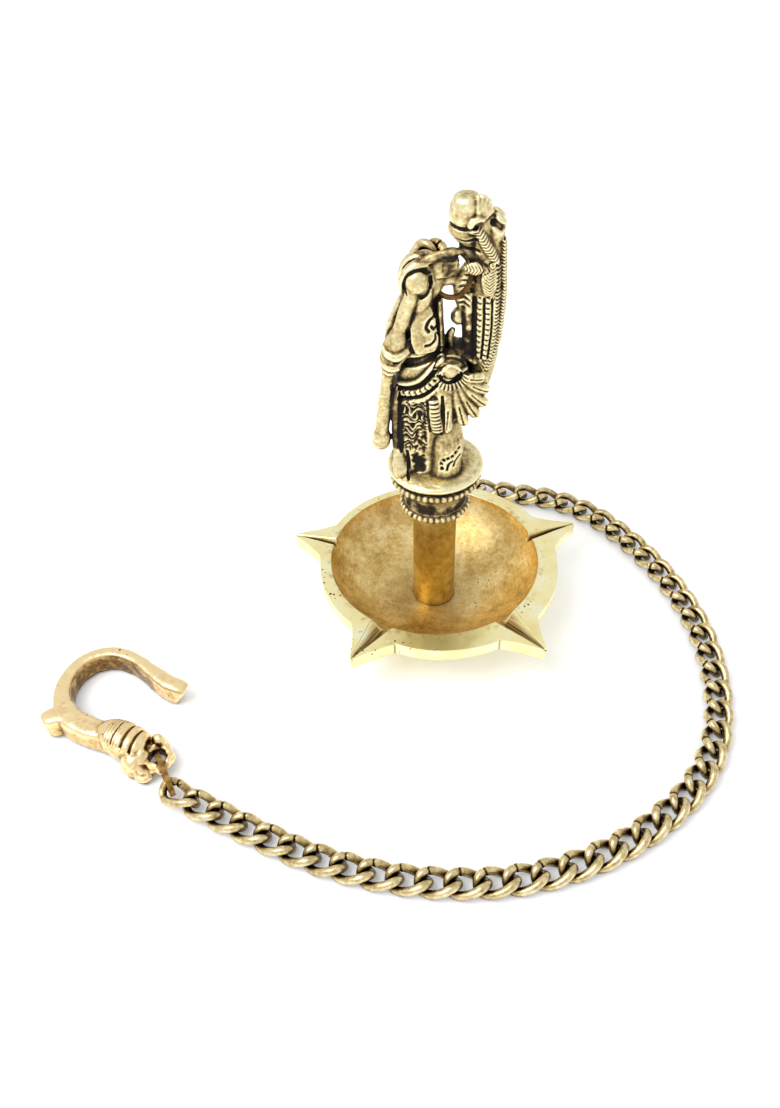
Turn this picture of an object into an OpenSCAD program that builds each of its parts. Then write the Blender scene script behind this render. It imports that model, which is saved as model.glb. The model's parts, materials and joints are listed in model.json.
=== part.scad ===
// Hanging oil lamp in cast brass: a bowl with pointed wick lips, a round stem, a bird finial that
// holds a garland in its beak, and a curb chain from the bird's ring to a cast hook.
// The lamp stands on its foot and the chain lies on the same surface in a loop round it.

/* [Bowl] */
// Diameter over the flat rim
rim_d = 110; // [90:1:130]
// Diameter of the oil cavity at the rim
cavity_d = 96; // [80:1:102]
// Height of the rim above the table
bowl_h = 27.5; // [22:0.5:40]
// Height of the rim's outer wall
rim_h = 7; // [4:0.5:10]
// Thickness of the bowl's floor
floor_t = 5; // [4:0.5:7]
// Diameter of the foot
foot_d = 48; // [36:1:60]
// Number of wick lips
lip_count = 5; // [3:1:7]
// How far a lip's tip stands out past the rim
lip_reach = 15.2; // [8:0.2:20]
// Half the width of a lip where it leaves the rim
lip_half = 10.5; // [6:0.5:14]
// Direction of the rear lip, turned from the bird's side
lip_turn = 91; // [80:1:100]
// Width of a wick groove at the cavity
groove_w = 15; // [6:0.5:18]
// Depth of a wick groove at the cavity
groove_d = 5; // [2:0.5:6]
// Sideways lead of the rim's centre past the stem, as cast
rim_lead_x = 2; // [0:0.5:3]
// Forward lead of the rim's centre past the stem, as cast
rim_lead_y = 2.4; // [0:0.2:3]

/* [Stem] */
// Diameter of the stem
stem_d = 19.6; // [14:0.2:23]
// Length of the stem between the bowl's floor and the collar
stem_len = 55; // [30:1:80]
// Diameter of the screwed spigot at each end
spigot_d = 10; // [6:0.5:11]
// Length of the upper spigot
spigot_len = 12; // [6:1:15]
// Clearance of a screwed spigot in its socket, on the radius
screw_gap = 0.1; // [0.05:0.05:0.2]

/* [Finial] */
// Diameter of the collar's lower bead ring
low_bead_d = 29.6; // [25:0.2:34]
// Diameter of the collar's upper bead ring
top_bead_d = 37.8; // [32:0.2:40]
// Diameter of the pedestal disc
disc_d = 41.2; // [38:0.2:46]
// Height of the collar up to the disc's rim
collar_h = 25; // [20:0.5:32]
// Height of the bird from the pedestal to the top bud
bird_h = 115; // [95:1:135]
// Thickness of the bird's body
body_t = 24; // [20:1:30]
// Diameter of the bridge between the head and the tail, that carries the ring
bridge_d = 4.6; // [4:0.2:5]
// Diameter of the garland's stem
garland_d = 5; // [4:0.2:6]

/* [Ring] */
// Outside diameter of the suspension ring
ring_d = 18.6; // [17:0.2:22]
// Wire diameter of the suspension ring
ring_wire = 2; // [1.6:0.1:2.4]

/* [Chain] */
// Distance between the middles of neighbouring links
pitch = 10.97; // [10.6:0.01:11.2]
// Length of a link over its wire
link_len = 18.2; // [17.8:0.1:19]
// Width of a link over its wire
link_w = 12.2; // [11.6:0.1:13]
// Wire diameter of a link
link_wire = 3.1; // [2.8:0.1:3.3]
// Twist of each half of a link
link_twist = 52; // [44:1:56]
// Run of the first three links over the bird's back, ahead of the hanging stretch
over_run = 24.2; // [20:0.2:26]

/* [Hook] */
// Inside diameter of the hook
hook_bore = 31; // [26:1:38]
// Thickness of the hook's band
hook_band = 6; // [4:0.5:8]
// Height of the hook's band
hook_h = 12; // [9:0.5:14]
// Diameter of the bound barrel at the hook's root
barrel_d = 16; // [14:0.5:18]
// Outside length of the strap ring
strap_len = 20; // [19:0.5:26]
// Thickness of the strap
strap_t = 2; // [1.5:0.1:2.4]
// Width of the strap
strap_w = 2.2; // [1.8:0.1:2.6]

/* [Hidden] */
$fn = 48;
brass = "#c9a24c";
antique = "#8f7a3e";
eps = 0.01;
free_gap = 0.35;
seat_t = 1.4;

// Heights along the stem's axis
collar_z = floor_t + stem_len;
disc_z = collar_z + collar_h;
bird_z = disc_z + 1;
k_bird = bird_h / 115;
function bz(z) = bird_z + k_bird * z;

// Plain maths for placing links
function unit(v) = v / norm(v);
function turn_z(a) = [[cos(a), -sin(a), 0], [sin(a), cos(a), 0], [0, 0, 1]];
function turn_y(a) = [[cos(a), 0, sin(a)], [0, 1, 0], [-sin(a), 0, cos(a)]];
function turn_x(a) = [[1, 0, 0], [0, cos(a), -sin(a)], [0, sin(a), cos(a)]];
function at(p, r) = [[r[0][0], r[0][1], r[0][2], p[0]], [r[1][0], r[1][1], r[1][2], p[1]],
    [r[2][0], r[2][1], r[2][2], p[2]], [0, 0, 0, 1]];
function along(r) = [r[0][0], r[1][0], r[2][0]];

// One curb link: a superellipse of wire whose two halves are twisted about the chain. The last link
// is left flat at the end that holds the strap ring.
link_a = link_len / 2 - link_wire / 2;
link_b = link_w / 2 - link_wire / 2;
link_rings = 16;
link_sides = 6;
function sgn_pow(v, p) = sign(v) * pow(abs(v), p);
function link_point(t, flat) = let (x = link_a * sgn_pow(cos(t), 0.77), y = link_b * sgn_pow(sin(t), 0.77),
    w = -link_twist * (flat ? min(x, 0) : x) / link_a) [x, y * cos(w), y * sin(w)];
function link_ring(t, flat) = let (c = link_point(t, flat),
    d = unit(link_point(t + 4, flat) - link_point(t - 4, flat)),
    o = [c[0] / 2, c[1], c[2]], n = unit(o - d * (o * d)), b = cross(d, n))
    [for (j = [0 : link_sides - 1]) let (q = 360 * (j + 0.5) / link_sides)
        c + link_wire / 2 * (cos(q) * n + sin(q) * b)];
link_points = [for (i = [0 : link_rings - 1]) each link_ring(360 * (i + 0.5) / link_rings, false)];
end_points = [for (i = [0 : link_rings - 1]) each link_ring(360 * (i + 0.5) / link_rings, true)];
link_faces = [for (i = [0 : link_rings - 1]) for (j = [0 : link_sides - 1])
    let (e = (i + 1) % link_rings, k = (j + 1) % link_sides, m = link_sides)
    each [[i * m + j, e * m + k, i * m + k], [i * m + j, e * m + j, e * m + k]]];
link_high = max([for (v = link_points) abs(v[2])]);

// The suspension ring hangs on the bridge and lies back, turned towards the front
bridge_z = bz(83);
ring_r = ring_d / 2 - ring_wire / 2;
ring_turn = 52;
ring_lean = 25;
ring_mid = [4.8, 0, bridge_z + 2];
ring_hang = 70;
ring_axes = turn_z(ring_turn) * turn_y(ring_lean);
ring_top = ring_mid + ring_r * (ring_axes * [0, sin(ring_hang), cos(ring_hang)]);

// How the chain lies, from the ring to the hook, as rows of: links, turn in the link's plane,
// turn across it. The hanging stretch leans so that it comes down exactly to the table.
hold = link_a - link_wire / 2 - ring_wire / 2 - free_gap;
start_dip = 3;
over_turn = 30;
rise_swing = 9;
bend_steps = 5;
lift_steps = 4;
lift_turn = 1.5;
lie_gap = 0.1;
bend_turn = 90 / bend_steps;
steep = [for (i = [1 : bend_steps - 1]) sin(90 - i * bend_turn)];
function total(v, i = 0) = i < len(v) ? v[i] + total(v, i + 1) : 0;
drop = (ring_top[2] - link_high - lie_gap - hold * sin(start_dip)) / pitch
    - sin(start_dip) / 2 - sin(start_dip + over_turn) - sin(start_dip + 2 * over_turn) - 1 - total(steep);
lip_run = (rim_d / 2 + lip_reach - ring_top[1] - over_run) / pitch;
rise_links = max(ceil(drop + 0.2), ceil(norm([drop, lip_run])));
lean = acos(drop / rise_links);
lay = [[2, -over_turn, 0], [1, start_dip + 2 * over_turn + lean - 90, 0], [rise_links - 1, 0, 0],
    [1, -lean, 0], [bend_steps, 0, -bend_turn], [1, -24.6, 0], [2, 0.8, 0], [4, -9.7, 0],
    [6, -4.1, 0], [6, -4.7, 0], [4, -7.7, 0], [5, -5, 0], [4, -5, 0],
    [6, -3.9, 0], [1, -2.6, 0], [lift_steps, -0.1, -lift_turn]];
turns = [for (s = lay) for (i = [1 : s[0]]) [s[1], s[2]]];
link_count = len(turns) + 1;
start_axes = turn_z(rise_swing)
    * [[0, 0, 1], [cos(start_dip), sin(start_dip), 0], [-sin(start_dip), cos(start_dip), 0]];
function next_link(f, t) = let (r = f[1] * turn_z(t[0]) * turn_y(t[1]))
    [f[0] + pitch / 2 * (along(f[1]) + along(r)), r];
links = [for (i = 0, f = [ring_top + hold * along(start_axes), start_axes]; i < link_count;
    f = i < link_count - 1 ? next_link(f, turns[i]) : f, i = i + 1) f];

// Links behind the bowl are named in pairs, and the links that lie on the table one by one
hung = rise_links + bend_steps + 4;
pairs = ceil(hung / 2);
laid = link_count - hung;
// The hanging stretch turns about its own length, from the ring's side to flat on the table
ring_roll = 96;
function roll(i) = ring_roll * max(0, 1 - i / hung);
function two(i) = str(i < 10 ? "0" : "", i);
function pair_name(i) = str("rise_", two(i));
function link_name(i) = str("link_", two(i));

// The strap ring stands on edge through the last link, and the hook's eye turns on it
last = links[link_count - 1];
last_out = along(last[1]);
last_way = unit([last_out[0], last_out[1], 0]);
strap_turn = -36;
strap_way = turn_z(strap_turn) * last_way;
strap_r = 4.9;
strap_half = strap_len / 2 - strap_t / 2;
strap_mid_z = strap_r + strap_t / 2 + 0.1;
strap_hold = link_a - link_wire / 2 - strap_t / 2 - 1.2;
strap_sink = strap_r - sqrt(pow(strap_r, 2) - pow(strap_mid_z - last[0][2], 2));
strap_end = last[0] + strap_hold * last_way;
strap_mid = [strap_end[0], strap_end[1], strap_mid_z] + (strap_half - strap_sink) * strap_way;
eye = strap_mid + strap_half * strap_way;
hook_way = 152;
eye_d = 6.6;
lug_h = 2 * strap_r - strap_t - 4 * free_gap;
hook_mid_r = hook_bore / 2 + hook_band / 2;

// A solid through level ellipses, each given as height, middle in x, half width in x, half width in y
module loft(rows, n = 16) {
    m = len(rows);
    points = [for (s = rows) for (j = [0 : n - 1])
        [s[1] + s[2] * cos(360 * j / n), s[3] * sin(360 * j / n), s[0]]];
    sides = [for (i = [0 : m - 2]) for (j = [0 : n - 1]) let (k = (j + 1) % n)
        each [[i * n + j, (i + 1) * n + k, i * n + k], [i * n + j, (i + 1) * n + j, (i + 1) * n + k]]];
    polyhedron(points, concat(sides, [[for (j = [0 : n - 1]) j],
        [for (j = [n - 1 : -1 : 0]) (m - 1) * n + j]]));
}

// A turned bulb with small flats at its poles
module bulb(d) {
    rotate_extrude() polygon([[0, -d * 0.5], [d * 0.14, -d * 0.5], [d * 0.36, -d * 0.36], [d * 0.5, -d * 0.12],
        [d * 0.5, d * 0.12], [d * 0.36, d * 0.36], [d * 0.14, d * 0.5], [0, d * 0.5]]);
}

// A round rod between two points
module rod(a, b, d1, d2) {
    v = b - a;
    translate(a) rotate([0, acos(v[2] / norm(v)), atan2(v[1], v[0])])
        cylinder(h = norm(v), d1 = d1, d2 = d2);
}

// Five-lipped bowl: a turned cavity and foot, a flat rim, and lips cut with wick grooves
module bowl() {
    rim_r = rim_d / 2;
    belly = rim_r - 5;
    cav_r = cavity_d / 2;
    well_r = stem_d / 2 + 4;
    foot_r = foot_d / 2;
    skirt = bowl_h - rim_h;
    outer = [for (t = [0 : 10 : 90]) [foot_r + (belly - foot_r) * sin(t), 1.5 + (skirt - 1.5) * (1 - cos(t))]];
    inner = [for (t = [0 : 10 : 90]) [well_r + (cav_r - well_r) * sin(t),
        floor_t + (bowl_h - floor_t) * (1 - cos(t))]];
    color(brass) difference() {
        union() {
            translate([rim_lead_x, -rim_lead_y, 0]) {
                rotate_extrude($fn = 96) polygon(concat([[0, 0], [foot_r, 0]], outer, [[rim_r - 1, skirt], [rim_r, skirt + 1], [rim_r, bowl_h - 0.8],
                    [rim_r - 0.8, bowl_h], [0, bowl_h]]));
                for (i = [0 : lip_count - 1]) rotate(lip_turn + i * 360 / lip_count)
                    translate([0, 0, skirt + 0.5]) linear_extrude(rim_h - 0.5)
                        polygon([[rim_r - 8, -lip_half - 2], [rim_r, -lip_half], [rim_r + lip_reach, -0.8],
                            [rim_r + lip_reach, 0.8], [rim_r, lip_half], [rim_r - 8, lip_half + 2]]);
            }
        }
        rotate_extrude($fn = 96) polygon(concat([[0, floor_t]], inner, [[cav_r, bowl_h + 1], [0, bowl_h + 1]]));
        translate([0, 0, seat_t]) cylinder(d = spigot_d + 2 * screw_gap, h = floor_t);
        translate([rim_lead_x, -rim_lead_y, 0]) for (i = [0 : lip_count - 1])
            rotate(lip_turn + i * 360 / lip_count) wick_groove(rim_r);
    }
}

// The cut of one wick groove: a vee that narrows and rises from the cavity to the lip's tip
module wick_groove(rim_r) {
    x0 = rim_r - 12;
    x1 = rim_r + lip_reach + 0.5;
    top = bowl_h + 1;
    polyhedron([[x0, -groove_w / 2, top], [x0, groove_w / 2, top], [x0, 0, bowl_h - groove_d],
        [x1, -0.7, top], [x1, 0.7, top], [x1, 0, bowl_h - 1]],
        [[0, 2, 1], [3, 4, 5], [0, 1, 4, 3], [0, 3, 5, 2], [1, 2, 5, 4]]);
}

// Plain stem with a screwed spigot at each end
module stem() {
    color(brass) {
        translate([0, 0, floor_t]) cylinder(d = stem_d, h = stem_len);
        translate([0, 0, seat_t + 0.3]) cylinder(d = spigot_d, h = floor_t - seat_t - 0.3 + eps);
        translate([0, 0, collar_z - eps]) cylinder(d = spigot_d, h = spigot_len);
    }
}

// A ring of beads on the collar, as a fluted band
module bead_band(d, h, count) {
    linear_extrude(h) polygon([for (i = [0 : count * 4 - 1]) let (a = 90 * i / count)
        (d / 2 - 0.45 + 0.45 * cos(90 * i)) * [cos(a), sin(a)]]);
}

// Collar, pedestal and bird, cast in one piece
module bird() {
    low_r = low_bead_d / 2;
    top_r = top_bead_d / 2;
    disc_r = disc_d / 2;
    color(brass) difference() {
        union() {
            translate([0, 0, collar_z]) rotate_extrude($fn = 64) polygon(concat([[0, 0], [low_r - 1.6, 0],
                [low_r - 0.6, 1], [low_r - 0.6, 4], [low_r - 1.8, 5.2]],
                [for (t = [0 : 15 : 90]) [top_r - 2 - (top_r - low_r) * cos(t), 6 + (collar_h - 15.5) * sin(t)]],
                [[top_r - 0.6, collar_h - 8.5], [top_r - 0.6, collar_h - 4.6], [top_r - 2, collar_h - 4],
                [top_r - 2, collar_h - 3], [disc_r - 0.8, collar_h - 3], [disc_r, collar_h - 2],
                [disc_r, collar_h - 0.8], [disc_r - 0.8, collar_h], [disc_r * 0.6, collar_h + 1.4],
                [0, collar_h + 2]]));
            translate([0, 0, collar_z + 1.2]) bead_band(low_bead_d, 2.6, 32);
            translate([0, 0, disc_z - 8.3]) bead_band(top_bead_d, 3.4, 41);
            bird_body();
            bird_tail();
            for (side = [-1, 1]) bird_wing(side);
            bird_garland();
        }
        translate([0, 0, collar_z - 1]) cylinder(d = spigot_d + 2 * screw_gap, h = spigot_len + 1 + 0.5);
    }
}

// Feet, breast, neck and head with its beak
module bird_body() {
    w = body_t / 2;
    loft([[bz(-2), -3, 14.5, w - 1], [bz(6), -5, 12.8, w - 2], [bz(12), -6, 12, w - 2.8],
        [bz(20), -5.5, 12.6, w - 2.4], [bz(28), -1.5, 16.2, w - 1], [bz(35), 0.3, 17, w],
        [bz(42), -0.4, 15.8, w - 0.6], [bz(48), -4, 11.6, w - 2.3], [bz(54), -5.2, 8.5, w - 4],
        [bz(62), -5.2, 6.9, w - 5.2], [bz(68), -5.8, 5.7, w - 5.8], [bz(74), -7.4, 4.6, w - 6.8],
        [bz(80), -8.5, 5, w - 7], [bz(86), -8, 5, w - 7.2], [bz(90), -6.8, 3.4, w - 8.6],
        [bz(91.5), -6.4, 1.5, w - 10.6]]);
    rod([-8, 0, bz(87.6)], [-13.4, 0, bz(86.4)], 5.4, 3.6);
    rod([-13.4, 0, bz(86.8)], [-14.5, 0, bz(80)], 3.6, 2.8);
    rod([-14.5, 0, bz(80.6)], [-13.6, 0, bz(74.6)], 2.8, 1.8);
    for (side = [-1, 1]) {
        translate([-8.4, side * 3, bz(84)]) bulb(8.6);
        rod([4, side * 6.8, bz(-1.2)], [4.4, side * 4.8, bz(21)], 13, 9.6);
    }
}

// Tail plume rising behind the gap, with hanging foliage, the top bud and the ring's bridge
module bird_tail() {
    loft([[bz(30), 14, 5, 8], [bz(38), 16, 4.5, 8], [bz(46), 17.5, 5.5, 7.8], [bz(58), 18.5, 6.2, 7.5],
        [bz(74), 18.8, 6.2, 7.2], [bz(88), 18.8, 6, 6.8], [bz(97), 18, 6.6, 6.2], [bz(103), 15.5, 6.5, 5.6],
        [bz(109), 14.5, 4.5, 4.4]]);
    loft([[bz(96.5), 11.5, 3.2, 3.5], [bz(99), 9.8, 5, 5], [bz(103), 9.2, 5.4, 5.8], [bz(108), 9.3, 5.3, 5.6],
        [bz(112), 9.6, 4.2, 4.4], [bz(115), 10, 1.6, 1.8]]);
    loft([[bz(65), 8, 1.2, 1.6], [bz(71), 9, 2.8, 3], [bz(78), 11, 3.4, 3.4], [bz(83), 13, 3, 3.4],
        [bz(88), 15.5, 2, 3]]);
    rod([-8, 0, bridge_z], [14, 0, bridge_z], bridge_d, bridge_d);
}

// Wing on one side: a beaded medallion over a fan of flight feathers
module bird_wing(side) {
    r = 6.5;
    translate([4.7, side * (body_t / 2 - 3), bz(48.5)]) rotate([side * -90, 0, 0]) {
        rotate_extrude() polygon([[0, -6], [r, -6], [r, 0.7], [r * 0.62, 0.7], [r * 0.62, 1.9], [r * 0.45, 1.9],
            [r * 0.25, 3.2], [0, 3.2]]);
        for (i = [0 : 6]) let (reach = 11.5 + 2.5 * i) rotate(side * (-6 + 17 * i))
            translate([0, -1.8, -3.2 - 0.15 * i]) linear_extrude(6 - 0.1 * i)
                polygon([[0, 0], [reach - 2.5, -0.6], [reach, 1.8], [reach - 2.5, 4.2], [0, 3.6]]);
    }
}

// Garland held in the beak: two rods with a knot between and a bulb at the end
module bird_garland() {
    top = [-10.6, -2.6, bz(79)];
    knot = [-16.8, -4, bz(55.5)];
    low = [-22.9, -4.7, bz(14)];
    rod(top, knot, garland_d, garland_d);
    rod(knot, low, garland_d, garland_d - 0.8);
    translate(knot) bulb(garland_d + 4);
    translate(low) bulb(garland_d + 2.2);
    rod([-16.4, -2, bz(54)], [-8, 0, bz(52)], 5, 6);
    rod([-21.2, -3.4, bz(24)], [-10, 0, bz(26)], 3, 5);
}

// Suspension ring round the bridge
module ring() {
    color(antique) multmatrix(at(ring_mid, ring_axes)) rotate([0, 90, 0])
        rotate_extrude() translate([ring_r, 0]) circle(d = ring_wire, $fn = 24);
}

// One link of the curb chain in its place
module chain_link(i) {
    color(antique) multmatrix(at(links[i][0], links[i][1] * turn_x(roll(i))))
        polyhedron(i == link_count - 1 ? end_points : link_points, link_faces);
}

// Two neighbouring links of the hanging stretch
module link_pair(i) {
    for (j = [2 * i - 2 : min(2 * i - 1, hung - 1)]) chain_link(j);
}

// Strap ring: a flat strip bent to an oval, standing on edge
module strap() {
    run = strap_half - strap_r;
    color(antique) translate(strap_mid) rotate(atan2(strap_way[1], strap_way[0])) rotate([90, 0, 0]) {
        for (side = [-1, 1]) {
            translate([side * run, 0, 0]) rotate(side * 90 - 180)
                rotate_extrude(angle = 180) translate([strap_r - strap_t / 2, -strap_w / 2]) square([strap_t, strap_w]);
            translate([-run, side * strap_r - strap_t / 2, -strap_w / 2]) cube([2 * run, strap_t, strap_w]);
        }
    }
}

// An outline cast to the hook's height, with its edges broken
module cast_band(edge = 1) {
    linear_extrude(hook_h - edge) offset(delta = -edge) children();
    translate([0, 0, edge]) linear_extrude(hook_h - 2 * edge) children();
    translate([0, 0, edge]) linear_extrude(hook_h - edge) offset(delta = -edge) children();
}

// Cast hook: eye lug, bound barrel, square shank with a heel, and a flat-banded bow with a flared end
module hook() {
    bow = [23 + hook_mid_r, -hook_mid_r + 0.5];
    bow_from = -96;
    bow_to = 66;
    tail_way = bow_from - 90;
    tail_at = bow + hook_mid_r * [cos(bow_from), sin(bow_from)];
    edge = 1;
    half = hook_band / 2;
    band = [[-half, edge], [edge - half, 0], [half - edge, 0], [half, edge], [half, hook_h - edge],
        [half - edge, hook_h], [edge - half, hook_h], [-half, hook_h - edge]];
    barrel_r = barrel_d / 2;
    color(brass) translate([eye[0], eye[1], 0]) rotate(hook_way) difference() {
        union() {
            translate([0, 0, strap_mid_z - lug_h / 2]) linear_extrude(lug_h) {
                circle(d = eye_d + 6);
                translate([0, -eye_d / 2 - 3]) square([8, eye_d + 6]);
            }
            translate([6, 0, barrel_r]) rotate([0, 90, 0]) {
                cylinder(d1 = barrel_d - 4, d2 = barrel_d - 1.5, h = 4);
                translate([0, 0, 4 - eps]) cylinder(d = barrel_d - 1.5, h = 12);
                for (i = [0 : 2]) translate([0, 0, 4 + 4 * i]) cylinder(d = barrel_d, h = 2.6);
                translate([0, 0, 16 - 2 * eps]) cylinder(d1 = barrel_d - 1.5, d2 = barrel_d - 6, h = 4);
            }
            cast_band() polygon([[20, -4.6], [27, -3.2], [36, -2.8], bow + [2, hook_bore / 2 - 1], bow + [8, 12],
                bow + [16.2, 13.6], bow + [13.4, 19.5], bow + [13, 23], bow + [14, 26.5], bow + [11.5, 28.4],
                bow + [5.5, 27], [41, 6.8], [33, 6.8], [20, 5.6]]);
            translate([bow[0], bow[1], 0]) rotate(bow_from) rotate_extrude(angle = bow_to - bow_from, $fn = 72)
                translate([hook_mid_r, 0]) polygon(band);
            translate([tail_at[0], tail_at[1], 0]) rotate(tail_way) cast_band() polygon([[-1, half - 0.1],
                [20, half + 0.2], [26, half - 0.4], [29.5, half - 2.2], [30.6, 0], [29.4, -half + 1],
                [26, -half - 0.4], [20, -half - 1.6], [13, -half - 1.3], [6, -half - 0.4], [-1, 0.1 - half]]);
        }
        translate([0, 0, -1]) cylinder(d = eye_d, h = barrel_d + 2);
    }
}

bowl();
stem();
bird();
ring();
for (i = [1 : pairs]) link_pair(i);
for (i = [1 : laid]) chain_link(hung + i - 1);
strap();
hook();
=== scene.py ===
import json
import math

import bpy
import numpy as np
from mathutils import Matrix, Vector, noise


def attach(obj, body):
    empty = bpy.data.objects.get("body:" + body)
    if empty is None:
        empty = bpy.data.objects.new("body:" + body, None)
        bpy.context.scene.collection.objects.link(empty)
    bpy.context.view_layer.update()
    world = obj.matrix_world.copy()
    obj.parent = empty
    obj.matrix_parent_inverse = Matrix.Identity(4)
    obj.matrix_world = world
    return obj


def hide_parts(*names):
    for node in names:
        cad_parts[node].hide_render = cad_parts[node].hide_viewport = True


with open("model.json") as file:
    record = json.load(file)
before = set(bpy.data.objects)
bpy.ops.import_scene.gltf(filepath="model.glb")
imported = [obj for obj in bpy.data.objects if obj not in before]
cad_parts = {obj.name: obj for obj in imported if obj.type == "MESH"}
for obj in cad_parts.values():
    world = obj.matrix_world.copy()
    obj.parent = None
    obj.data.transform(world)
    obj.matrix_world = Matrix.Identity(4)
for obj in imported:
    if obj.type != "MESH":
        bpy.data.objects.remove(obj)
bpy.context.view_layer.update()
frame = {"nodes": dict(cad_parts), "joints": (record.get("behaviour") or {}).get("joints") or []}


# The oil bowl: a dish sand-cast in brass, turned smooth inside and filed flat on its rim and five lips.
# It stands on its own foot, and the stem is screwed into its floor.
MM = 0.001


def skin(rings):
    """Points and faces over a stack of rings of points, closed at both ends."""
    count, sides = rings.shape[:2]
    points = np.vstack([rings.reshape(-1, 3), rings[0].mean(0), rings[-1].mean(0)])
    row, col = np.meshgrid(np.arange(count - 1), np.arange(sides), indexing="ij")
    here, beside = (row * sides + col).ravel(), (row * sides + (col + 1) % sides).ravel()
    faces = np.stack([here, beside, beside + sides, here + sides], axis=1).tolist()
    first, last, top = count * sides, count * sides + 1, (count - 1) * sides
    for j in range(sides):
        k = (j + 1) % sides
        faces.append((first, k, j))
        faces.append((last, top + j, top + k))
    return points, faces


def new_piece(name, points, faces, body, slot):
    """A smooth mesh object from points in millimetres that moves with a body."""
    mesh = bpy.data.meshes.new(name)
    mesh.from_pydata((np.asarray(points, float) * MM).tolist(), [], faces)
    mesh.polygons.foreach_set("use_smooth", [True] * len(mesh.polygons))
    made = bpy.data.objects.new(name, mesh)
    bpy.context.collection.objects.link(made)
    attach(made, body)
    return made


def mark(piece, name, values):
    """Keeps a value for each point of a piece, for its material to read."""
    piece.data.attributes.new(name, "FLOAT", "POINT").data.foreach_set("value", values)


RIM_R, CAVITY_R, RIM_Z, FLOOR_Z, RIM_DROP = 55, 48, 27.5, 5, 6.6
FLAT_R, UNDER_R, FOOT_R, FOOT_Z, BELLY_H = 13, 50, 24, 1.5, 18.9
LIP_OUT, LIP_COUNT, LIP_TURN, LIP_HALF = 15.2, 5, 91, 14
GROOVE_FROM, GROOVE_RUN, GROOVE_HALF, GROOVE_Z = 43, 27.7, 7.5, 22.5
rim_middle = np.array([2.0, -2.4])
lip_gap = 360 / LIP_COUNT
# Directions lie close together over a lip and its groove, and wider apart between
spread = np.concatenate([np.arange(-LIP_HALF, LIP_HALF, 0.3), np.arange(LIP_HALF, lip_gap - LIP_HALF, 1.0)])
angles = np.radians(np.concatenate([LIP_TURN + i * lip_gap + spread for i in range(LIP_COUNT)]))
rays = np.stack([np.cos(angles), np.sin(angles)], axis=1)
lip_off = (np.degrees(angles) - LIP_TURN + lip_gap / 2) % lip_gap - lip_gap / 2
# Outline of rim and lips: straight sides to the tip, drawn in a little between, with hand-filed unevenness
SIDE_OFF, SIDE_SLOPE = 45.6, 0.638
side = SIDE_OFF / (np.sin(np.radians(np.abs(lip_off))) + SIDE_SLOPE * np.cos(np.radians(lip_off)))
outline = np.clip(side, RIM_R, RIM_R + LIP_OUT)
part = (outline - RIM_R) / LIP_OUT
outline = outline - 3.4 * part * (1 - part)
outline += np.array([0.35 * noise.noise(Vector((r[0] * 4, r[1] * 4, 2))) for r in rays])
# Distance from the rim's middle to the cavity's edge, which is turned about the stem
along = rays @ rim_middle
edge = -along + np.sqrt(along ** 2 + CAVITY_R ** 2 - rim_middle @ rim_middle)


def top_height(spots):
    """Height of the bowl's upper face at places seen from above."""
    reach = np.linalg.norm(spots, axis=-1)
    share = np.clip((reach - FLAT_R) / (CAVITY_R - FLAT_R), 0, 1)
    round_rise, steep_rise = (1 - np.sqrt(1 - share ** 2 * 0.998)) / 0.955, share ** 2.3
    dish = FLOOR_Z + (RIM_Z - FLOOR_Z) * (0.55 * round_rise + 0.45 * steep_rise)
    height = np.where(reach < CAVITY_R, np.minimum(dish, RIM_Z), RIM_Z)
    for i in range(LIP_COUNT):
        turn = math.radians(LIP_TURN + i * lip_gap)
        out = (spots - rim_middle) @ [math.cos(turn), math.sin(turn)]
        across = np.abs((spots - rim_middle) @ [-math.sin(turn), math.cos(turn)])
        run = np.clip((out - GROOVE_FROM) / GROOVE_RUN, 0, 1)
        # The two grooves that point to the front were filed wider than the others
        half, low = (GROOVE_HALF - 6.8 * run) * (1.0 if i in (2, 3) else 0.5), GROOVE_Z + 4.0 * run
        groove = low + across / half * (RIM_Z + 1 - low)
        height = np.where((out > GROOVE_FROM - 3) & (groove < height), groove, height)
    return height


def level_ring(reach, height):
    """Ring of points at a distance from the rim's middle, all at one height."""
    return np.column_stack([rim_middle + rays * np.reshape(reach, (-1, 1)), np.full(len(rays), height)])


# Rings of the upper face, which crowd towards the cavity's edge and towards the rim's
CAVITY_RINGS = 59
reaches = [edge * share for share in 1 - (1 - np.linspace(0, 1, CAVITY_RINGS + 1)[1:]) ** 1.8]
reaches += [edge + (outline - edge) * share for share in [*np.linspace(0, 1, 26)[1:-1], 0.985, 1]]
rings = []
for reach in reaches:
    spots = rim_middle + rays * reach[:, None]
    rings.append(np.column_stack([spots, top_height(spots)]))
rings[-1][:, 2] -= 0.5
TOP_RINGS = len(rings)
# Wall of the rim, its underside, the round belly and the foot
wall_drops = (1.2, 2.6, 4.2, 5.6, RIM_DROP)
for drop in wall_drops:
    rings.append(level_ring(outline - (0.15 if drop < RIM_DROP else 0.7), RIM_Z - drop))
for share in (0.35, 0.7, 1):
    rings.append(level_ring(outline * (1 - share) + UNDER_R * share, RIM_Z - RIM_DROP - 0.4 * share))
for turn in np.radians(np.arange(84, -1, -6)):
    reach, height = FOOT_R + (UNDER_R - FOOT_R) * math.sin(turn), FOOT_Z + BELLY_H * (1 - math.cos(turn))
    rings.append(level_ring(reach, height))
for reach, height in ((23.7, 0.3), (23, 0), (8, 0)):
    rings.append(level_ring(reach, height))
rings = np.array(rings)
points, faces = skin(rings)
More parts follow.
